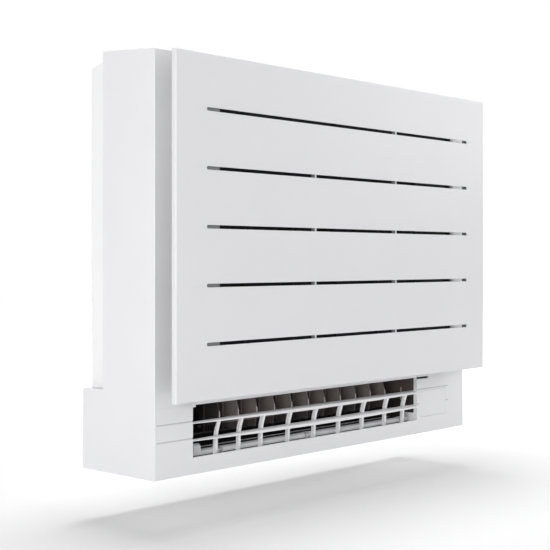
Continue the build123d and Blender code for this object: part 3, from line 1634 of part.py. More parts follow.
export_step(filter_frame.part, "parts/filter_frame.step")

with BuildPart() as filter_mesh:
    block(
        (filter_left + filter_border, filter_right - filter_border),
        (rib_y[1], rib_y[1] + mesh_thickness),
        (filter_bottom + filter_border, filter_top - filter_border),
    )
filter_mesh.part.label = "filter_mesh"
export_step(filter_mesh.part, "parts/filter_mesh.step")

# Deodorising filter cartridges, between the guard bars and the fins
with BuildPart() as deodorising_filters:
    cartridge_top = intake_top - 14.0
    cartridge_front = exchanger_front_y - 0.5 - cartridge_thickness
    for x in (exchanger_left + 20.0, exchanger_right - 20.0 - cartridge_width):
        low = cartridge_top - cartridge_height
        block(
            (x, x + cartridge_width),
            (cartridge_front, cartridge_front + cartridge_thickness),
            (low, cartridge_top),
        )
        for n in range(3):
            cell = (cartridge_width - 16.0) / 3
            block(
                (x + 8.0 + n * cell + 2.0, x + 8.0 + (n + 1) * cell - 2.0),
                (cartridge_front - 1, cartridge_front + 1.5),
                (low + 8.0, cartridge_top - 8.0),
                Mode.SUBTRACT,
            )
deodorising_filters.part.label = "deodorising_filters"
export_step(deodorising_filters.part, "parts/deodorising_filters.step")

# ---- Front panel ----------------------------------------------------------------------

# Front panel: a shallow tray with five slots
with BuildPart() as front_panel:
    block((-half_width, half_width), (front_y, panel_back_y), (panel_bottom, panel_top))
    fillet(front_panel.edges().group_by(Axis.Y)[0], panel_edge_radius)
    block(
        (-half_width + panel_skin, half_width - panel_skin),
        (front_y + panel_skin, panel_back_y + 1),
        (panel_bottom + panel_skin, panel_top - panel_skin),
        Mode.SUBTRACT,
    )
    for z in slot_levels:
        block(
            (left_slot_x, right_slot_x),
            (front_y - 1, front_y + panel_skin + 1),
            (z - slot_height / 2, z + slot_height / 2),
            Mode.SUBTRACT,
        )
        for x in (left_rib_x, right_rib_x):
            if z < carrier_rib_top or x > 0:
                block(
                    (x - slot_bridge / 2, x + slot_bridge / 2),
                    (front_y + slot_bridge_recess, front_y + panel_skin),
                    (z - slot_height / 2, z + slot_height / 2),
                )
        # A crease that fades out from each end of the slot
        for start, side in ((left_slot_x, -1), (right_slot_x, 1)):
            with BuildSketch(Plane.XY.offset(z - crease_height / 2)):
                with BuildLine():
                    Polyline(
                        (start, front_y - 0.5),
                        (start, front_y + crease_depth),
                        (start + side * crease_length, front_y - 0.05),
                        (start + side * crease_length, front_y - 0.5),
                        close=True,
                    )
                make_face()
            extrude(amount=crease_height, mode=Mode.SUBTRACT)
front_panel.part.label = "front_panel"
export_step(front_panel.part, "parts/front_panel.step")

# Panel carrier: the inner frame with the panel's pivots and studs
with BuildPart() as panel_carrier:
    skin_back_y = front_y + panel_skin
    carrier_x = (-half_width + strip_left_inset, half_width - strip_right_inset)
    carrier_z = (panel_bottom + panel_skin + 4.0, panel_top - panel_skin - 4.0)
    carrier_y = (front_y + strip_setback, panel_back_y)
    for x in (
        (carrier_x[0], carrier_x[0] + strip_width),
        (carrier_x[1] - strip_width, carrier_x[1]),
    ):
        block(x, carrier_y, carrier_z)
    for z in (
        (carrier_z[0], carrier_z[0] + carrier_rail),
        (carrier_z[1] - carrier_rail, carrier_z[1]),
    ):
        block((-half_width + 12.0, half_width - 12.0), (skin_back_y, panel_back_y), z)
    for x, top in ((left_rib_x, carrier_rib_top), (right_rib_x, carrier_z[1])):
        block((x - carrier_rib / 2, x + carrier_rib / 2), (skin_back_y, panel_back_y), (carrier_z[0], top))
    block(
        carrier_x,
        (carrier_y[0], panel_back_y),
        (carrier_rib_top - 2 * carrier_rib, carrier_rib_top - carrier_rib),
    )
    # Arms back to the pivots
    for side in (-1, 1):
        arm_x = sorted(
            (
                side * (half_width - hinge_inset - 1.0),
                side * (half_width - hinge_inset - 1.0 - hinge_arm),
            )
        )
        prism_x(
            [
                (panel_back_y - 2.0, carrier_z[0] + 1.0),
                (hinge_y, hinge_z - 5.0),
                (hinge_y + 3.0, hinge_z),
                (hinge_y, hinge_z + 5.0),
                (panel_back_y - 2.0, carrier_z[0] + carrier_rail + 12.0),
            ],
            arm_x,
        )
        block(
            arm_x,
            (skin_back_y, panel_back_y),
            (carrier_z[0], carrier_z[0] + carrier_rail + 12.0),
        )
        pin_start = arm_x[0] if side < 0 else arm_x[1]
        round_bar(
            (pin_start - side * hinge_arm / 2, hinge_y, hinge_z),
            (side, 0, 0),
            hinge_pin_radius,
            hinge_arm / 2 + 1.0 + lug_thickness,
        )
    # Studs that snap into the casing's clips
    for x in stud_places:
        stud_length = inner_face_y + stud_reach - panel_back_y
        round_bar((x, panel_back_y, stud_z), (0, 1, 0), stud_radius, stud_length)
        block(
            (x - 8.0, x + 8.0), (skin_back_y, panel_back_y), (stud_z - 10.0, carrier_z[1] - 2.0)
        )
panel_carrier.part.label = "panel_carrier"
export_step(panel_carrier.part, "parts/panel_carrier.step")

# Clips behind the casing face that grip the panel's studs from above and below
with BuildPart() as panel_clips:
    for x in stud_places:
        clip_x = (x - 6.0, x + 6.0)
        block(clip_x, (inner_face_y, inner_face_y + clip_jaw), (stud_z - 9.0, stud_z + 9.0))
        round_bar(
            (x, inner_face_y - 1, stud_z), (0, 1, 0), clip_hole_radius, clip_jaw + 2, Mode.SUBTRACT
        )
        near, far = stud_radius + clip_gap, stud_radius + clip_gap + clip_jaw
        for z in ((stud_z - far, stud_z - near), (stud_z + near, stud_z + far)):
            block(clip_x, (inner_face_y + clip_jaw, inner_face_y + clip_length), z)
panel_clips.part.label = "panel_clips"
export_step(panel_clips.part, "parts/panel_clips.step")
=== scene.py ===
"""Floor standing air conditioner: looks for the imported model, laid out as an add-on."""

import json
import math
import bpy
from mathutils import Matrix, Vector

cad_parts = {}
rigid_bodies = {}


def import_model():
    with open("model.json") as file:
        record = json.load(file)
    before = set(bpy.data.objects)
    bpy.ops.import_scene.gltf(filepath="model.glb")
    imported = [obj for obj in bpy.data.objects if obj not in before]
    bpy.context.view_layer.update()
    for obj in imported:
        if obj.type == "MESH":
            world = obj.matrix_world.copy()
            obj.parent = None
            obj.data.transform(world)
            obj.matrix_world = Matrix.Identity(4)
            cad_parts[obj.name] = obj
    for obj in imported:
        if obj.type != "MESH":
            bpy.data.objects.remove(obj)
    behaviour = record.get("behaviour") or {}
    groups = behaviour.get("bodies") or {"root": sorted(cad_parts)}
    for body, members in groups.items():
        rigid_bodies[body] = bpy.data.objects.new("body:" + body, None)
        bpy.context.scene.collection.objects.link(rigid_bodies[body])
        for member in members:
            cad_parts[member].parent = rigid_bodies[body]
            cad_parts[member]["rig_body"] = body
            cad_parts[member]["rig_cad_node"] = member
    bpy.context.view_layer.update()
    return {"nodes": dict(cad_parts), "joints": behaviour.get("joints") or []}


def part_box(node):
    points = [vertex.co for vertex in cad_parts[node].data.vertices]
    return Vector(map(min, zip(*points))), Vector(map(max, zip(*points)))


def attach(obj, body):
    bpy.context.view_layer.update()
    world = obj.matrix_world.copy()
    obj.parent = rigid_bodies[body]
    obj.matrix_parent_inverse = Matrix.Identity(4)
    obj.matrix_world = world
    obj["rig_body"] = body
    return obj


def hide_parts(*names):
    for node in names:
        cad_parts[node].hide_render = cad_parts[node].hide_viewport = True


bl_info = {
    "name": "Floor Standing Air Conditioner",
    "version": (1, 0, 0),
    "blender": (4, 5, 0),
    "location": "View3D > Sidebar > Air Conditioner",
    "description": "Finishes the indoor unit of a floor standing air conditioner and lights it",
    "category": "Object",
}

import bpy
from bpy.props import FloatProperty, FloatVectorProperty, PointerProperty, StringProperty
from mathutils import Vector

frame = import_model()
nodes = frame["nodes"]

LOWER_LOUVRES = sorted(name for name in nodes if name.startswith("lower_louvre_"))
UPPER_LOUVRES = sorted(name for name in nodes if name.startswith("upper_louvre_"))
MM = 0.001

# Places in the unit's own frame, in metres
FOOT_TOP_Z = 118.5 * MM  # the rear frame stands in from the casing above this height
OUTLET_LIMIT_Z = 100.0 * MM  # the lower outlet and its grooves lie below this height
NOSE_MIDDLE_Z = 67.5 * MM  # middle of the painted highlight on a blade's front edge
NOSE_HALF_Z = 11.5 * MM  # half the length of that stretch
NOSE_HALF_Y = 1.2 * MM  # half its depth
SHADE_LINE_Z = 60.0 * MM  # height of the blades' shade line at their front edge
SHADE_FALL = 0.19  # fall of that line for each unit of depth

# Shaping of edges
MERGE_DISTANCE = 0.002 * MM
FLAT_ANGLE = math.radians(0.5)  # faces that meet flatter than this become one face
SHARP_ANGLE = math.radians(40)  # edges sharper than this are eased and shaded as edges
EASE_SEGMENTS = 2
PANEL_EASE_MM = 0.4
GRID_EASE_MM = 0.6
THIN_EASE_MM = 0.3  # flaps, carrier and filter frame
FIN_RIPPLE = 0.35 * MM  # depth of the ripple in a fin

# How far the normal of a face points along an axis, for the faces with a second finish
SQUARE_TO_FRONT = -0.99
TO_LEFT = -0.9
UPWARD = 0.8
ASLANT_DOWN = -0.35

SATIN = 0.42  # roughness of the white mouldings
WAVE_RADIANS = 20  # radians of a wave in one unit of the Wave Texture


# ---- Colours and material nodes -------------------------------------------------------


def linear(colour, alpha=1.0):
    """Turns a colour written as sRGB hex into the linear values that a shader reads."""
    channels = [int(colour[i : i + 2], 16) / 255 for i in (1, 3, 5)]
    values = [c / 12.92 if c <= 0.04045 else ((c + 0.055) / 1.055) ** 2.4 for c in channels]
    return values + [alpha]


def add_node(material, kind, inputs=(), **settings):
    """Adds one node to a material or to the surroundings, with its settings, its values and
    its incoming links."""
    tree = material.node_tree
    made = tree.nodes.new(kind)
    for name, value in settings.items():
        setattr(made, name, value)
    for name, value in dict(inputs).items():
        if isinstance(value, bpy.types.NodeSocket):
            tree.links.new(value, made.inputs[name])
        else:
            made.inputs[name].default_value = value
    return made


def darker(colour, share):
    """A hex colour in linear values, with its light scaled to a share of itself."""
    return [c * share for c in linear(colour)[:3]] + [1.0]


def per_mm(size_mm):
    """Texture scale at which one cell of a pattern on Object coordinates is this large."""
    return 1000.0 / size_mm


def start_material(name):
    """An empty material, with its Object coordinates."""
    material = bpy.data.materials.new(name)
    material.use_nodes = True
    material.node_tree.nodes.clear()
    place = add_node(material, "ShaderNodeTexCoord").outputs["Object"]
    return material, place


def finish_material(material, shader):
    """Joins the shader to the surface output."""
    add_node(material, "ShaderNodeOutputMaterial", {"Surface": shader.outputs[0]})
    material.diffuse_color = shader.inputs["Base Color"].default_value
    return material


def moulded_abs(name, colour, roughness, grain_mm=1.2, depth_mm=0.03, shade=0.03):
    """ABS, injection moulded in a finely spark-eroded tool: an even satin skin with a very
    soft highlight. The grain is drawn coarser than the real 0.1 mm so that it shows."""
    material, place = start_material(name)
    mottle = add_node(
        material,
        "ShaderNodeTexNoise",
        {"Vector": place, "Scale": per_mm(90.0), "Detail": 2.0},
    )
    dark = darker(colour, 1 - shade)
    tint = add_node(
        material,
        "ShaderNodeMix",
        {0: mottle.outputs["Fac"], 6: dark, 7: linear(colour)},
        data_type="RGBA",
    )
    grain = add_node(
        material, "ShaderNodeTexNoise", {"Vector": place, "Scale": per_mm(grain_mm), "Detail": 3.0}
    )
    bump = add_node(
        material,
        "ShaderNodeBump",
        {"Height": grain.outputs["Fac"], "Strength": 0.25, "Distance": depth_mm * MM},
    )
    sheen = add_node(
        material,
        "ShaderNodeMapRange",
        {"Value": grain.outputs["Fac"], "To Min": roughness - 0.04, "To Max": roughness + 0.04},
    )
    shader = add_node(
        material,
        "ShaderNodeBsdfPrincipled",
        {
            "Base Color": tint.outputs[2],
            "Roughness": sheen.outputs[0],
            "IOR": 1.54,
            "Normal": bump.outputs["Normal"],
        },
    )
    return finish_material(material, shader)


def blade_polystyrene(name, colour, highlight_colour, nose_y):
    """Louvre blades: brown polystyrene, moulded and matt, with a painted highlight, a pale spot on
    each blade's nose. Below a line that falls towards the rear it is painted near black, a painted
    shade."""
    material, place = start_material(name)
    mottle = add_node(
        material, "ShaderNodeTexNoise", {"Vector": place, "Scale": per_mm(25.0), "Detail": 3.0}
    )
    tint = add_node(
        material,
        "ShaderNodeMix",
        {0: mottle.outputs["Fac"], 6: darker(colour, 0.8), 7: linear(colour)},
        data_type="RGBA",
    )
    axes = add_node(material, "ShaderNodeSeparateXYZ", {0: place})
    # Painted shade: below a line falling towards the rear the blade is painted near black
    height = add_node(
        material,
        "ShaderNodeVectorMath",
        {0: place, 1: (0.0, SHADE_FALL, 1.0)},
        operation="DOT_PRODUCT",
    )
    low = add_node(
        material,
        "ShaderNodeMath",
        {0: height.outputs["Value"], 1: SHADE_LINE_Z + SHADE_FALL * nose_y},
        operation="LESS_THAN",
    )
    painted_shade_tint = add_node(
        material,
        "ShaderNodeMix",
        {0: low.outputs[0], 6: tint.outputs[2], 7: darker(colour, 0.3)},
        data_type="RGBA",
    )
    # A pale painted highlight on the nose, where the front edge bulges into the light
    level = add_node(
        material,
        "ShaderNodeMath",
        {0: axes.outputs["Z"], 1: NOSE_MIDDLE_Z, 2: NOSE_HALF_Z},
        operation="COMPARE",
    )
    front = add_node(
        material,
        "ShaderNodeMath",
        {0: axes.outputs["Y"], 1: nose_y, 2: NOSE_HALF_Y},
        operation="COMPARE",
    )
    highlight_spot = add_node(
        material,
        "ShaderNodeMath",
        {0: level.outputs[0], 1: front.outputs[0]},
        operation="MULTIPLY",
    )
    highlighted = add_node(
        material,
        "ShaderNodeMix",
        {0: highlight_spot.outputs[0], 6: painted_shade_tint.outputs[2], 7: linear(highlight_colour)},
        data_type="RGBA",
    )
    grain = add_node(
        material, "ShaderNodeTexNoise", {"Vector": place, "Scale": per_mm(1.5), "Detail": 3.0}
    )
    bump = add_node(
        material,
        "ShaderNodeBump",
        {"Height": grain.outputs["Fac"], "Strength": 0.3, "Distance": 0.05 * MM},
    )
    shader = add_node(
        material,
        "ShaderNodeBsdfPrincipled",
        {
            "Base Color": highlighted.outputs[2],
            "Roughness": 0.55,
            "IOR": 1.58,
            "Normal": bump.outputs["Normal"],
        },
    )
    return finish_material(material, shader)


def rolled_metal(name, colour, roughness, grain_mm, stretch):
    """Sheet or drawn metal: a fine grain drawn out along one axis."""
    material, place = start_material(name)
    drawn = add_node(material, "ShaderNodeMapping", {"Vector": place, "Scale": stretch})
    grain = add_node(
        material,
        "ShaderNodeTexNoise",
        {"Vector": drawn.outputs[0], "Scale": per_mm(grain_mm), "Detail": 4.0},
    )
    tint = add_node(
        material,
        "ShaderNodeMix",
        {0: grain.outputs["Fac"], 6: darker(colour, 0.82), 7: linear(colour)},
        data_type="RGBA",
    )
    rough = add_node(
        material,
        "ShaderNodeMapRange",
        {"Value": grain.outputs["Fac"], "To Min": roughness - 0.08, "To Max": roughness + 0.1},
    )
    shader = add_node(
        material,
        "ShaderNodeBsdfPrincipled",
        {"Base Color": tint.outputs[2], "Roughness": rough.outputs[0], "Metallic": 1.0},
    )
    return finish_material(material, shader)


def spangled_zinc(name, colour):
    """Galvanised steel sheet: flat zinc crystals about 6 mm across, each a little lighter or
    darker and a little rougher or smoother than the next."""
    material, place = start_material(name)
    spangle = add_node(
        material,
        "ShaderNodeTexVoronoi",
        {"Vector": place, "Scale": per_mm(6.0), "Randomness": 1.0},
    )
    tint = add_node(
        material,
        "ShaderNodeMix",
        {0: spangle.outputs["Color"], 6: darker(colour, 0.8), 7: linear(colour)},
        data_type="RGBA",
    )
    rough = add_node(
        material,
        "ShaderNodeMapRange",
        {"Value": spangle.outputs["Color"], "To Min": 0.34, "To Max": 0.52},
    )
    shader = add_node(
        material,
        "ShaderNodeBsdfPrincipled",
        {"Base Color": tint.outputs[2], "Roughness": rough.outputs[0], "Metallic": 1.0},
    )
    return finish_material(material, shader)


def woven_net(name, colour, thread_mm):
    """Polypropylene net, woven: dark threads crossing at right angles. The real 1 mm weave is
    drawn coarser so that it shows."""
    material, place = start_material(name)
    scale = per_mm(thread_mm) / WAVE_RADIANS
    across = add_node(
        material,
        "ShaderNodeTexWave",
        {"Vector": place, "Scale": scale, "Distortion": 0.0},
        bands_direction="X",
        wave_profile="SIN",
    )
    along = add_node(
        material,
        "ShaderNodeTexWave",
        {"Vector": place, "Scale": scale, "Distortion": 0.0},
        bands_direction="Z",
        wave_profile="SIN",
    )
    crossing = add_node(
        material,
        "ShaderNodeMath",
        {0: across.outputs["Fac"], 1: along.outputs["Fac"]},
        operation="MAXIMUM",
    )
    tint = add_node(
        material,
        "ShaderNodeMix",
        {0: crossing.outputs[0], 6: darker(colour, 0.25), 7: linear(colour)},
        data_type="RGBA",
    )
    bump = add_node(
        material,
        "ShaderNodeBump",
        {"Height": crossing.outputs[0], "Strength": 0.6, "Distance": 0.3 * MM},
    )
    shader = add_node(
        material,
        "ShaderNodeBsdfPrincipled",
        {
            "Base Color": tint.outputs[2],
            "Roughness": 0.7,
            "IOR": 1.49,
            "Normal": bump.outputs["Normal"],
        },
    )
    return finish_material(material, shader)


def solder_mask(name, colour):
    """Glass fibre board under green solder mask: semi-gloss, with the tracks just showing."""
    material, place = start_material(name)
    tracks = add_node(
        material,
        "ShaderNodeTexBrick",
        {
            "Vector": place,
            "Scale": per_mm(9.0),
            "Mortar Size": 0.03,
            "Color1": linear(colour),
            "Color2": linear(colour),
            "Mortar": darker(colour, 1.6),
        },
    )
    shader = add_node(
        material,
        "ShaderNodeBsdfPrincipled",
        {"Base Color": tracks.outputs["Color"], "Roughness": 0.32, "IOR": 1.55},
    )
    return finish_material(material, shader)


# ---- Shaping helpers ------------------------------------------------------------------


def select_only(piece):
    """Makes one object the only selected and the active one."""
    bpy.ops.object.select_all(action="DESELECT")
    piece.select_set(True)
    bpy.context.view_layer.objects.active = piece


def eased_copy(node, name, ease_mm, material):
    """A copy of a CAD node with its points merged and its sharp edges eased, so that they
    catch the light as moulded edges do. It stands in the node's place."""
    select_only(nodes[node])
    bpy.ops.object.duplicate()
    piece = bpy.context.active_object
    piece.name = piece.data.name = name
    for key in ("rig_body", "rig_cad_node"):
        if key in piece:
            del piece[key]
    piece.data.materials.clear()
    piece.data.materials.append(material)
    bpy.ops.object.mode_set(mode="EDIT")
    bpy.ops.mesh.select_all(action="SELECT")
    bpy.ops.mesh.remove_doubles(threshold=MERGE_DISTANCE)
    bpy.ops.mesh.dissolve_limited(angle_limit=FLAT_ANGLE)
    bpy.ops.object.mode_set(mode="OBJECT")
    if ease_mm > 0:
        ease = piece.modifiers.new("ease", "BEVEL")
        ease.limit_method = "ANGLE"
        ease.angle_limit = SHARP_ANGLE
        ease.width = ease_mm * MM
        ease.segments = EASE_SEGMENTS
        ease.use_clamp_overlap = True
        bpy.ops.object.modifier_apply(modifier=ease.name)
    bpy.ops.object.shade_smooth_by_angle(angle=SHARP_ANGLE)
    # Large flat faces keep their own normals, so that they stay free of creases
    flatten = piece.modifiers.new("flatten", "WEIGHTED_NORMAL")
    flatten.mode = "FACE_AREA"
    flatten.weight = 100
    flatten.keep_sharp = True
    bpy.ops.object.modifier_apply(modifier=flatten.name)
    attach(piece, nodes[node]["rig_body"])
    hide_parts(node)
    return piece


def paint_faces(piece, material, wanted):
    """Gives the faces for which wanted(centre, normal) holds a second finish."""
    piece.data.materials.append(material)
    last = len(piece.data.materials) - 1
    for face in piece.data.polygons:
        if wanted(face.center, face.normal):
            face.material_index = last


def dress(names, material):
    """Gives CAD nodes their finish."""
    for name in [names] if isinstance(names, str) else names:
        nodes[name].data.materials.clear()
        nodes[name].data.materials.append(material)


def material_for(name, maker, *args, **kwargs):
    """The material of that name, made once."""
    return bpy.data.materials.get(name) or maker(name, *args, **kwargs)


def white_abs():
    """Outer mouldings: white ABS with a satin skin."""
    colour = bpy.context.scene.aircon_casing.white
    return material_for("white_abs_moulded", moulded_abs, colour, SATIN)


def galvanised_steel():
    """Brackets, boxes, motors and end plates: galvanised steel sheet."""
    return material_for("galvanised_steel", spangled_zinc, "#B4B8BB")


def brown_polystyrene(name="brown_polystyrene_moulded", colour=None):
    """Louvre blades and the duct's right wall: brown polystyrene with its painted highlight and
    painted shade.
    """
    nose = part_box(LOWER_LOUVRES[0])[0]
    return material_for(
        name,
        blade_polystyrene,
        colour or bpy.context.scene.aircon_outlet.louvre_brown,
        "#D9D4CF",
        nose.y,
    )


def dark_polystyrene():
    """Cartridges and tie bars: dark brown polystyrene, moulded and matt."""
    return material_for(
        "dark_polystyrene_moulded", moulded_abs, "#3A332E", roughness=0.5, shade=0.15
    )


def black_polystyrene():
    """Duct walls: foamed black polystyrene with a matt, slightly pebbled skin."""
    colour = bpy.context.scene.aircon_outlet.duct_black
    return material_for(
        "black_polystyrene_foamed",
        moulded_abs,
        colour,
        roughness=0.7,
        grain_mm=3.0,
        depth_mm=0.2,
        shade=0.3,
    )


def grey_polypropylene():
    """Fan, pan and clips: grey polypropylene, moulded."""
    return material_for(
        "grey_polypropylene_moulded", moulded_abs, "#8B8F92", roughness=0.5, shade=0.08
    )


# ---- Settings -------------------------------------------------------------------------


class CasingSettings(bpy.types.PropertyGroup):
    """Outer mouldings."""

    white: StringProperty(
        name="White", description="sRGB colour of the white mouldings", default="#EFEFF1"
    )
    edge_ease: FloatProperty(
        name="Edge ease", description="Rounding of moulded edges, in millimetres",
        default=0.5, min=0.1, max=2.0,
    )


class OutletSettings(bpy.types.PropertyGroup):
    """Outlets, louvre blades and ducts."""

    louvre_brown: StringProperty(
        name="Louvre brown", description="sRGB colour of the louvre blades", default="#988D8A"
    )
    duct_black: StringProperty(
        name="Duct black", description="sRGB colour of the duct walls", default="#1C1B1B"
    )


class ExchangerSettings(bpy.types.PropertyGroup):
    """Heat exchanger."""

    fin_pitch: FloatProperty(
        name="Fin pitch", description="Distance from fin to fin, in millimetres",
        default=2.1, min=1.2, max=6.0,
    )
    fin_thickness: FloatProperty(
        name="Fin thickness", description="Thickness of one fin, in millimetres",
        default=0.25, min=0.1, max=1.0,
    )


class StageSettings(bpy.types.PropertyGroup):
    """Floor, lights and camera."""

    floor_drop: FloatProperty(
        name="Floor drop", description="Height at which the unit hangs over the floor",
        default=0.075, min=0.0, max=0.5, subtype="DISTANCE", unit="LENGTH",
    )
    key_power: FloatProperty(
        name="Key power", description="Power of the low lamp at the left",
        default=28.0, subtype="POWER",
    )
    left_power: FloatProperty(
        name="Left power", description="Power of the high lamp at the left",
        default=2.5, subtype="POWER",
    )
    fill_power: FloatProperty(
        name="Fill power", description="Power of the lamp at the right",
        default=19.0, subtype="POWER",
    )
    overhead_power: FloatProperty(
        name="Overhead power", description="Power of the lamp above, which draws the shadow",
        default=25.0, subtype="POWER",
    )
    back_power: FloatProperty(
        name="Back power", description="Power of the lamp behind",
        default=12.0, subtype="POWER",
    )
    ambient: FloatProperty(
        name="Ambient", description="Strength of the even light all round",
        default=0.35, min=0.0, max=2.0,
    )
    floor_lift: FloatProperty(
        name="Floor lift", description="How far the camera sees the floor lifted to white",
        default=0.06, min=0.0, max=1.0,
    )
    camera_place: FloatVectorProperty(
        name="Camera place", description="Where the camera stands", size=3,
        default=(-1.4396, -1.2740, 0.3038), subtype="TRANSLATION", unit="LENGTH",
    )
    camera_turn: FloatProperty(
        name="Camera turn", description="Turn of the view to the right",
        default=math.radians(47.055), subtype="ANGLE", unit="ROTATION",
    )
    lens: FloatProperty(name="Lens", description="Focal length, in millimetres", default=76.793)
    shift: FloatProperty(name="Shift", description="Upright shift of the view", default=-0.02717)


# ---- Pieces ---------------------------------------------------------------------------


class AIRCON_OT_casing(bpy.types.Operator):
    """Front casing, rear frame, display cover and button"""

    bl_idname = "aircon.casing"
    bl_label = "Casing"

    def execute(self, context):
        ease = context.scene.aircon_casing.edge_ease
        rear = eased_copy("rear_frame", "rear_frame_moulding", 2 * ease, white_abs())
        # The inset part above the foot is painted a lighter white, a painted light
        painted_light_white = material_for("white_abs_fresh", moulded_abs, "#FBFBFC", SATIN)
        paint_faces(rear, painted_light_white, lambda centre, normal: centre.z > FOOT_TOP_Z)
        casing = eased_copy("front_casing", "front_casing_moulding", 0.5 * ease, white_abs())
        # The tapering grooves beside the outlet lie in shade, painted into their faces as a darker
        # white
        groove = material_for("white_abs_groove", moulded_abs, "#CECED1", roughness=0.5)
        face_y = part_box("display_cover")[0].y
        shallowest = face_y + 0.15 * MM
        deepest = face_y + 1.1 * MM
        paint_faces(
            casing,
            groove,
            lambda centre, normal: normal.y < SQUARE_TO_FRONT
            and shallowest < centre.y < deepest
            and centre.z < OUTLET_LIMIT_Z,
        )
        eased_copy("display_cover", "display_cover_moulding", ease, white_abs())
        eased_copy("power_button", "power_button_moulding", 0.5 * ease, white_abs())
        return {"FINISHED"}


class AIRCON_OT_front_panel(bpy.types.Operator):
    """Front panel and its carrier"""

    bl_idname = "aircon.front_panel"
    bl_label = "Front panel"

    def execute(self, context):
        painted = material_for("white_abs_panel", moulded_abs, "#E9E9EC", roughness=0.38)
        eased_copy("front_panel", "front_panel_moulding", PANEL_EASE_MM, painted)
        grey = material_for("grey_abs_moulded", moulded_abs, "#8A8C8E", roughness=0.5)
        eased_copy("panel_carrier", "panel_carrier_moulding", THIN_EASE_MM, grey)
        return {"FINISHED"}


class AIRCON_OT_outlet_grid(bpy.types.Operator):
    """Outlet grid"""

    bl_idname = "aircon.outlet_grid"
    bl_label = "Outlet grid"

    def execute(self, context):
        bright = material_for("white_abs_grid", moulded_abs, "#F6F6F8", SATIN)
        eased_copy("outlet_grid", "outlet_grid_moulding", GRID_EASE_MM, bright)
        return {"FINISHED"}


class AIRCON_OT_flaps(bpy.types.Operator):
    """Lower and upper flaps"""

    bl_idname = "aircon.flaps"
    bl_label = "Flaps"

    def execute(self, context):
        lower = eased_copy("lower_flap", "lower_flap_moulding", THIN_EASE_MM, white_abs())
        eased_copy("upper_flap", "upper_flap_moulding", THIN_EASE_MM, white_abs())
        # Black painted shade on the blade's upper face, and a strip of it under the roll, where
        # shade falls
        painted_shade_black = material_for(
            "nylon_flock_black",
            moulded_abs,
            "#2A2828",
            roughness=0.9,
            grain_mm=0.8,
            depth_mm=0.2,
            shade=0.3,
        )
        hinge = next(joint for joint in frame["joints"] if joint["name"] == "lower_flap_hinge")
        pin = Vector(hinge["pos_m"])
        behind_roll = pin.y + 6 * MM
        before_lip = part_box("lower_flap")[1].y - 1.6 * MM
        blade_low = pin.z - 2 * MM
        blade_high = pin.z + 6.2 * MM
        paint_faces(
            lower,
            painted_shade_black,
            lambda centre, normal: normal.z > UPWARD
            and behind_roll < centre.y < before_lip
            and blade_low < centre.z < blade_high,
        )
        # The strip of painted shade under the roll
        strip_back = pin.y + 1 * MM
        strip_top = pin.z - 1.5 * MM
        paint_faces(
            lower,
            painted_shade_black,
            lambda centre, normal: normal.z < ASLANT_DOWN
            and centre.z < strip_top
            and centre.y < strip_back,
        )
        return {"FINISHED"}


class AIRCON_OT_louvres(bpy.types.Operator):
    """Louvre blades and their tie bars"""

    bl_idname = "aircon.louvres"
    bl_label = "Louvre blades"

    def execute(self, context):
        dress(LOWER_LOUVRES[1:] + UPPER_LOUVRES, brown_polystyrene())
        # The first blade stands where the opening's end keeps the light off, and its darker brown
        # is painted shade
        dress(LOWER_LOUVRES[0], brown_polystyrene("brown_polystyrene_shaded", "#4A4444"))
        dress(["lower_tie_bar", "upper_tie_bar"], dark_polystyrene())
        return {"FINISHED"}


class AIRCON_OT_ducts(bpy.types.Operator):
    """Ducts, side guides and bell mouth"""

    bl_idname = "aircon.ducts"
    bl_label = "Ducts"

    def execute(self, context):
        black = black_polystyrene()
        dress(["upper_duct", "side_guides", "bell_mouth"], black)
        duct = eased_copy("lower_duct", "lower_duct_foam", 0, black)
        # The right wall stands in the same light as the blades; it is painted brown over the
        # duct's black as painted light, a darker brown than theirs
        last_blade_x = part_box(LOWER_LOUVRES[-1])[1].x
        paint_faces(
            duct,
            brown_polystyrene("brown_polystyrene_foamed", "#635855"),
            lambda centre, normal: normal.x < TO_LEFT and centre.x > last_blade_x,
        )
        return {"FINISHED"}


class AIRCON_OT_fan(bpy.types.Operator):
    """Fan, shaft, nut, motor and bracket"""

    bl_idname = "aircon.fan"
    bl_label = "Fan and motor"

    def execute(self, context):
        dress("turbo_fan", grey_polypropylene())
        dress(["fan_motor", "motor_bracket"], galvanised_steel())
        bright = material_for(
            "zinc_plated_steel",
            rolled_metal,
            "#C6C9CC",
            roughness=0.3,
            grain_mm=0.4,
            stretch=(1.0, 1.0, 1.0),
        )
        dress(["fan_shaft", "fan_nut", "screws"], bright)
        return {"FINISHED"}


class AIRCON_OT_air_filter(bpy.types.Operator):
    """Air filter and deodorising cartridges"""

    bl_idname = "aircon.air_filter"
    bl_label = "Air filter"

    def execute(self, context):
        dark = material_for(
            "polypropylene_frame_moulded", moulded_abs, "#2C2D2F", roughness=0.5, shade=0.1
        )
        eased_copy(
            "filter_frame", "filter_frame_moulding", THIN_EASE_MM, dark
        )
        net = material_for("polypropylene_net_woven", woven_net, "#26272A", thread_mm=4.0)
        dress("filter_mesh", net)
        dress("deodorising_filters", dark_polystyrene())
        return {"FINISHED"}


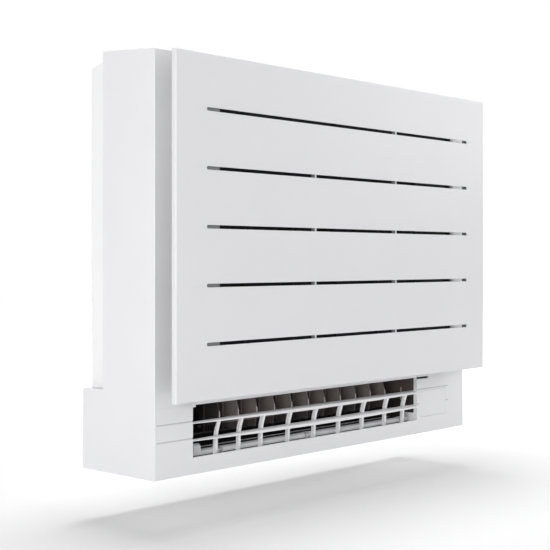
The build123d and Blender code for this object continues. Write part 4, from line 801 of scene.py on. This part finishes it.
class AIRCON_OT_heat_exchanger(bpy.types.Operator):
    """Fins, tubes, end plates, pan and pipes"""

    bl_idname = "aircon.heat_exchanger"
    bl_label = "Heat exchanger"

    def execute(self, context):
        settings = context.scene.aircon_exchanger
        low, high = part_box("fin_pack")
        count = int((high.x - low.x) / (settings.fin_pitch * MM))
        bpy.ops.object.select_all(action="DESELECT")
        bpy.ops.mesh.primitive_cube_add(size=1.0, location=(0, 0, 0))
        fins = context.active_object
        fins.name = fins.data.name = "fin_stack"
        thickness = settings.fin_thickness * MM
        middle_y = (low.y + high.y) / 2
        middle_z = (low.z + high.z) / 2
        fins.scale = (thickness, high.y - low.y, high.z - low.z)
        fins.location = (low.x + thickness / 2, middle_y, middle_z)
        bpy.ops.object.transform_apply(location=True, rotation=True, scale=True)
        # Each fin is rippled along its depth, as pressed fins are
        bpy.ops.object.mode_set(mode="EDIT")
        bpy.ops.mesh.select_all(action="SELECT")
        bpy.ops.mesh.bisect(plane_co=(0, middle_y, 0), plane_no=(0, 1, 0))
        bpy.ops.transform.translate(value=(FIN_RIPPLE, 0, 0))
        bpy.ops.object.mode_set(mode="OBJECT")
        stack = fins.modifiers.new("stack", "ARRAY")
        stack.use_relative_offset = False
        stack.use_constant_offset = True
        stack.constant_offset_displace = (settings.fin_pitch * MM, 0, 0)
        stack.count = count
        bpy.ops.object.modifier_apply(modifier=stack.name)
        foil = material_for(
            "aluminium_foil_fins",
            rolled_metal,
            "#C9CDD1",
            roughness=0.35,
            grain_mm=1.5,
            stretch=(1.0, 1.0, 0.1),
        )
        fins.data.materials.append(foil)
        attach(fins, "base")
        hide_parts("fin_pack")
        copper = material_for(
            "copper_tube_drawn",
            rolled_metal,
            "#C07A55",
            roughness=0.28,
            grain_mm=1.0,
            stretch=(0.1, 1.0, 1.0),
        )
        dress(["exchanger_tubes", "refrigerant_pipes", "coil_thermistor"], copper)
        brass = material_for(
            "brass_turned",
            rolled_metal,
            "#CDAA5E",
            roughness=0.25,
            grain_mm=0.5,
            stretch=(1.0, 1.0, 0.1),
        )
        dress("flare_unions", brass)
        dress("end_plates", galvanised_steel())
        dress(["drain_pan", "panel_clips"], grey_polypropylene())
        hose = material_for("pvc_hose_grey", moulded_abs, "#9A9C9D", roughness=0.45)
        dress("drain_hose", hose)
        return {"FINISHED"}


class AIRCON_OT_electrics(bpy.types.Operator):
    """Electrical box, boards and stepping motors"""

    bl_idname = "aircon.electrics"
    bl_label = "Electrical pieces"

    def execute(self, context):
        steel_pieces = ["partition", "electrical_box", "electrical_box_cover", "swing_motors"]
        dress(steel_pieces, galvanised_steel())
        board = material_for("solder_mask_board", solder_mask, "#1F6B3E")
        dress(["display_board", "button_switch", "control_board", "terminal_block"], board)
        return {"FINISHED"}


# ---- Stage ----------------------------------------------------------------------------


# Where each lamp stands, what it is aimed at, its size and the setting with its power
LAMPS = {
    "key_lamp": ((-2.5, -1.3, 0.45), (-0.3, 0, 0.35), (1.3, 0.9), "key_power"),
    "left_lamp": ((-2.3, -0.3, 1.2), (-0.3, 0, 0.35), (1.3, 0.9), "left_power"),
    "fill_lamp": ((2.4, -1.2, 1.2), (0.2, 0, 0.35), (1.6, 1.3), "fill_power"),
    "back_lamp": ((1.3, 2.3, 1.3), (0, 0, 0.35), (1.6, 1.3), "back_power"),
    "overhead_lamp": ((0.1, 0.15, 2.2), (0.1, 0.15, 0), (0.9, 0.9), "overhead_power"),
}
FLOOR_SIZE = 14.0
NEAR_FLOOR = 0.6  # up to this distance the floor is lifted the least
FAR_FLOOR = 1.7  # from this distance it is white
SENSOR_WIDTH = 36.0  # millimetres
LEVEL = math.radians(90)  # tilt of a camera that looks level


def area_lamp(name, place, target, size, power):
    """A soft rectangular white lamp, aimed at a point."""
    bpy.ops.object.light_add(type="AREA", location=place)
    lamp = bpy.context.active_object
    lamp.name = name
    lamp.data.shape = "RECTANGLE"
    lamp.data.size, lamp.data.size_y = size
    lamp.data.energy = power
    aim = (lamp.location - Vector(target)).normalized()
    lamp.rotation_euler = aim.to_track_quat("Z", "Y").to_euler()


def white_floor(settings):
    """Matt white paper under the unit. The camera sees it lifted to white, more so where the
    lamps no longer reach, and shadows still darken it."""
    bpy.ops.object.select_all(action="DESELECT")
    bpy.ops.mesh.primitive_plane_add(size=FLOOR_SIZE, location=(0, 0, -settings.floor_drop))
    floor = bpy.context.active_object
    floor.name = "floor"
    paper, place = start_material("floor_paper")
    light_path = add_node(paper, "ShaderNodeLightPath")
    diffuse = add_node(paper, "ShaderNodeBsdfDiffuse", {"Color": linear("#F8F8F8")})
    away = add_node(paper, "ShaderNodeVectorMath", {0: place}, operation="LENGTH")
    far = add_node(
        paper,
        "ShaderNodeMapRange",
        {
            "Value": away.outputs["Value"],
            "From Min": NEAR_FLOOR,
            "From Max": FAR_FLOOR,
            "To Min": settings.floor_lift,
            "To Max": 1.0,
        },
    )
    seen = add_node(
        paper,
        "ShaderNodeMath",
        {0: light_path.outputs["Is Camera Ray"], 1: light_path.outputs["Is Glossy Ray"]},
        operation="MAXIMUM",
    )
    lift = add_node(
        paper,
        "ShaderNodeMath",
        {0: seen.outputs[0], 1: far.outputs[0]},
        operation="MULTIPLY",
    )
    glow = add_node(paper, "ShaderNodeEmission", {"Strength": lift.outputs[0]})
    both = add_node(paper, "ShaderNodeAddShader", {0: diffuse.outputs[0], 1: glow.outputs[0]})
    add_node(paper, "ShaderNodeOutputMaterial", {"Surface": both.outputs[0]})
    floor.data.materials.append(paper)


def white_world(settings):
    """Even light all round, which the camera and reflections see as plain white."""
    world = bpy.data.worlds.new("studio")
    bpy.context.scene.world = world
    world.use_nodes = True
    world.node_tree.nodes.clear()
    light_path = add_node(world, "ShaderNodeLightPath")
    direct = add_node(
        world,
        "ShaderNodeMath",
        {0: light_path.outputs["Is Camera Ray"], 1: light_path.outputs["Is Glossy Ray"]},
        operation="MAXIMUM",
    )
    white = add_node(
        world,
        "ShaderNodeMath",
        {0: direct.outputs[0], 1: light_path.outputs["Is Transmission Ray"]},
        operation="MAXIMUM",
    )
    strength = add_node(
        world,
        "ShaderNodeMapRange",
        {"Value": white.outputs[0], "To Min": settings.ambient, "To Max": 1.0},
    )
    sky = add_node(
        world,
        "ShaderNodeBackground",
        {"Color": linear("#FFFFFF"), "Strength": strength.outputs[0]},
    )
    add_node(world, "ShaderNodeOutputWorld", {"Surface": sky.outputs[0]})


class AIRCON_OT_stage(bpy.types.Operator):
    """Floor, lamps, surroundings and camera"""

    bl_idname = "aircon.stage"
    bl_label = "Stage"

    def execute(self, context):
        settings = context.scene.aircon_stage
        white_floor(settings)
        white_world(settings)
        for name, (place, target, size, power) in LAMPS.items():
            area_lamp(name, place, target, size, getattr(settings, power))
        bpy.ops.object.camera_add(
            location=settings.camera_place, rotation=(LEVEL, 0, -settings.camera_turn)
        )
        camera = context.active_object
        camera.data.sensor_width = SENSOR_WIDTH
        camera.data.lens = settings.lens
        camera.data.shift_y = settings.shift
        context.scene.camera = camera
        context.scene.view_settings.view_transform = "Standard"
        return {"FINISHED"}


class AIRCON_PT_panel(bpy.types.Panel):
    """Lists the pieces and their settings"""

    bl_label = "Air Conditioner"
    bl_idname = "AIRCON_PT_panel"
    bl_space_type = "VIEW_3D"
    bl_region_type = "UI"
    bl_category = "Air Conditioner"

    def draw(self, context):
        for group in SETTINGS:
            box = self.layout.box()
            owner = getattr(context.scene, group)
            for name in owner.__annotations__:
                box.prop(owner, name)
        for operator in PIECES:
            self.layout.operator(operator.bl_idname)


SETTINGS = {
    "aircon_casing": CasingSettings,
    "aircon_outlet": OutletSettings,
    "aircon_exchanger": ExchangerSettings,
    "aircon_stage": StageSettings,
}
PIECES = (
    AIRCON_OT_casing,
    AIRCON_OT_front_panel,
    AIRCON_OT_outlet_grid,
    AIRCON_OT_flaps,
    AIRCON_OT_louvres,
    AIRCON_OT_ducts,
    AIRCON_OT_fan,
    AIRCON_OT_air_filter,
    AIRCON_OT_heat_exchanger,
    AIRCON_OT_electrics,
    AIRCON_OT_stage,
)


def register():
    """Registers the settings, the operators and the panel."""
    for group in SETTINGS.values():
        bpy.utils.register_class(group)
    for name, group in SETTINGS.items():
        setattr(bpy.types.Scene, name, PointerProperty(type=group))
    for operator in PIECES:
        bpy.utils.register_class(operator)
    bpy.utils.register_class(AIRCON_PT_panel)


def unregister():
    """Takes them away again."""
    bpy.utils.unregister_class(AIRCON_PT_panel)
    for operator in reversed(PIECES):
        bpy.utils.unregister_class(operator)
    for name, group in SETTINGS.items():
        delattr(bpy.types.Scene, name)
        bpy.utils.unregister_class(group)


def main():
    """Makes every piece and the stage."""
    register()
    bpy.ops.aircon.casing()
    bpy.ops.aircon.front_panel()
    bpy.ops.aircon.outlet_grid()
    bpy.ops.aircon.flaps()
    bpy.ops.aircon.louvres()
    bpy.ops.aircon.ducts()
    bpy.ops.aircon.fan()
    bpy.ops.aircon.air_filter()
    bpy.ops.aircon.heat_exchanger()
    bpy.ops.aircon.electrics()
    bpy.ops.aircon.stage()


if __name__ == "__main__":
    main()
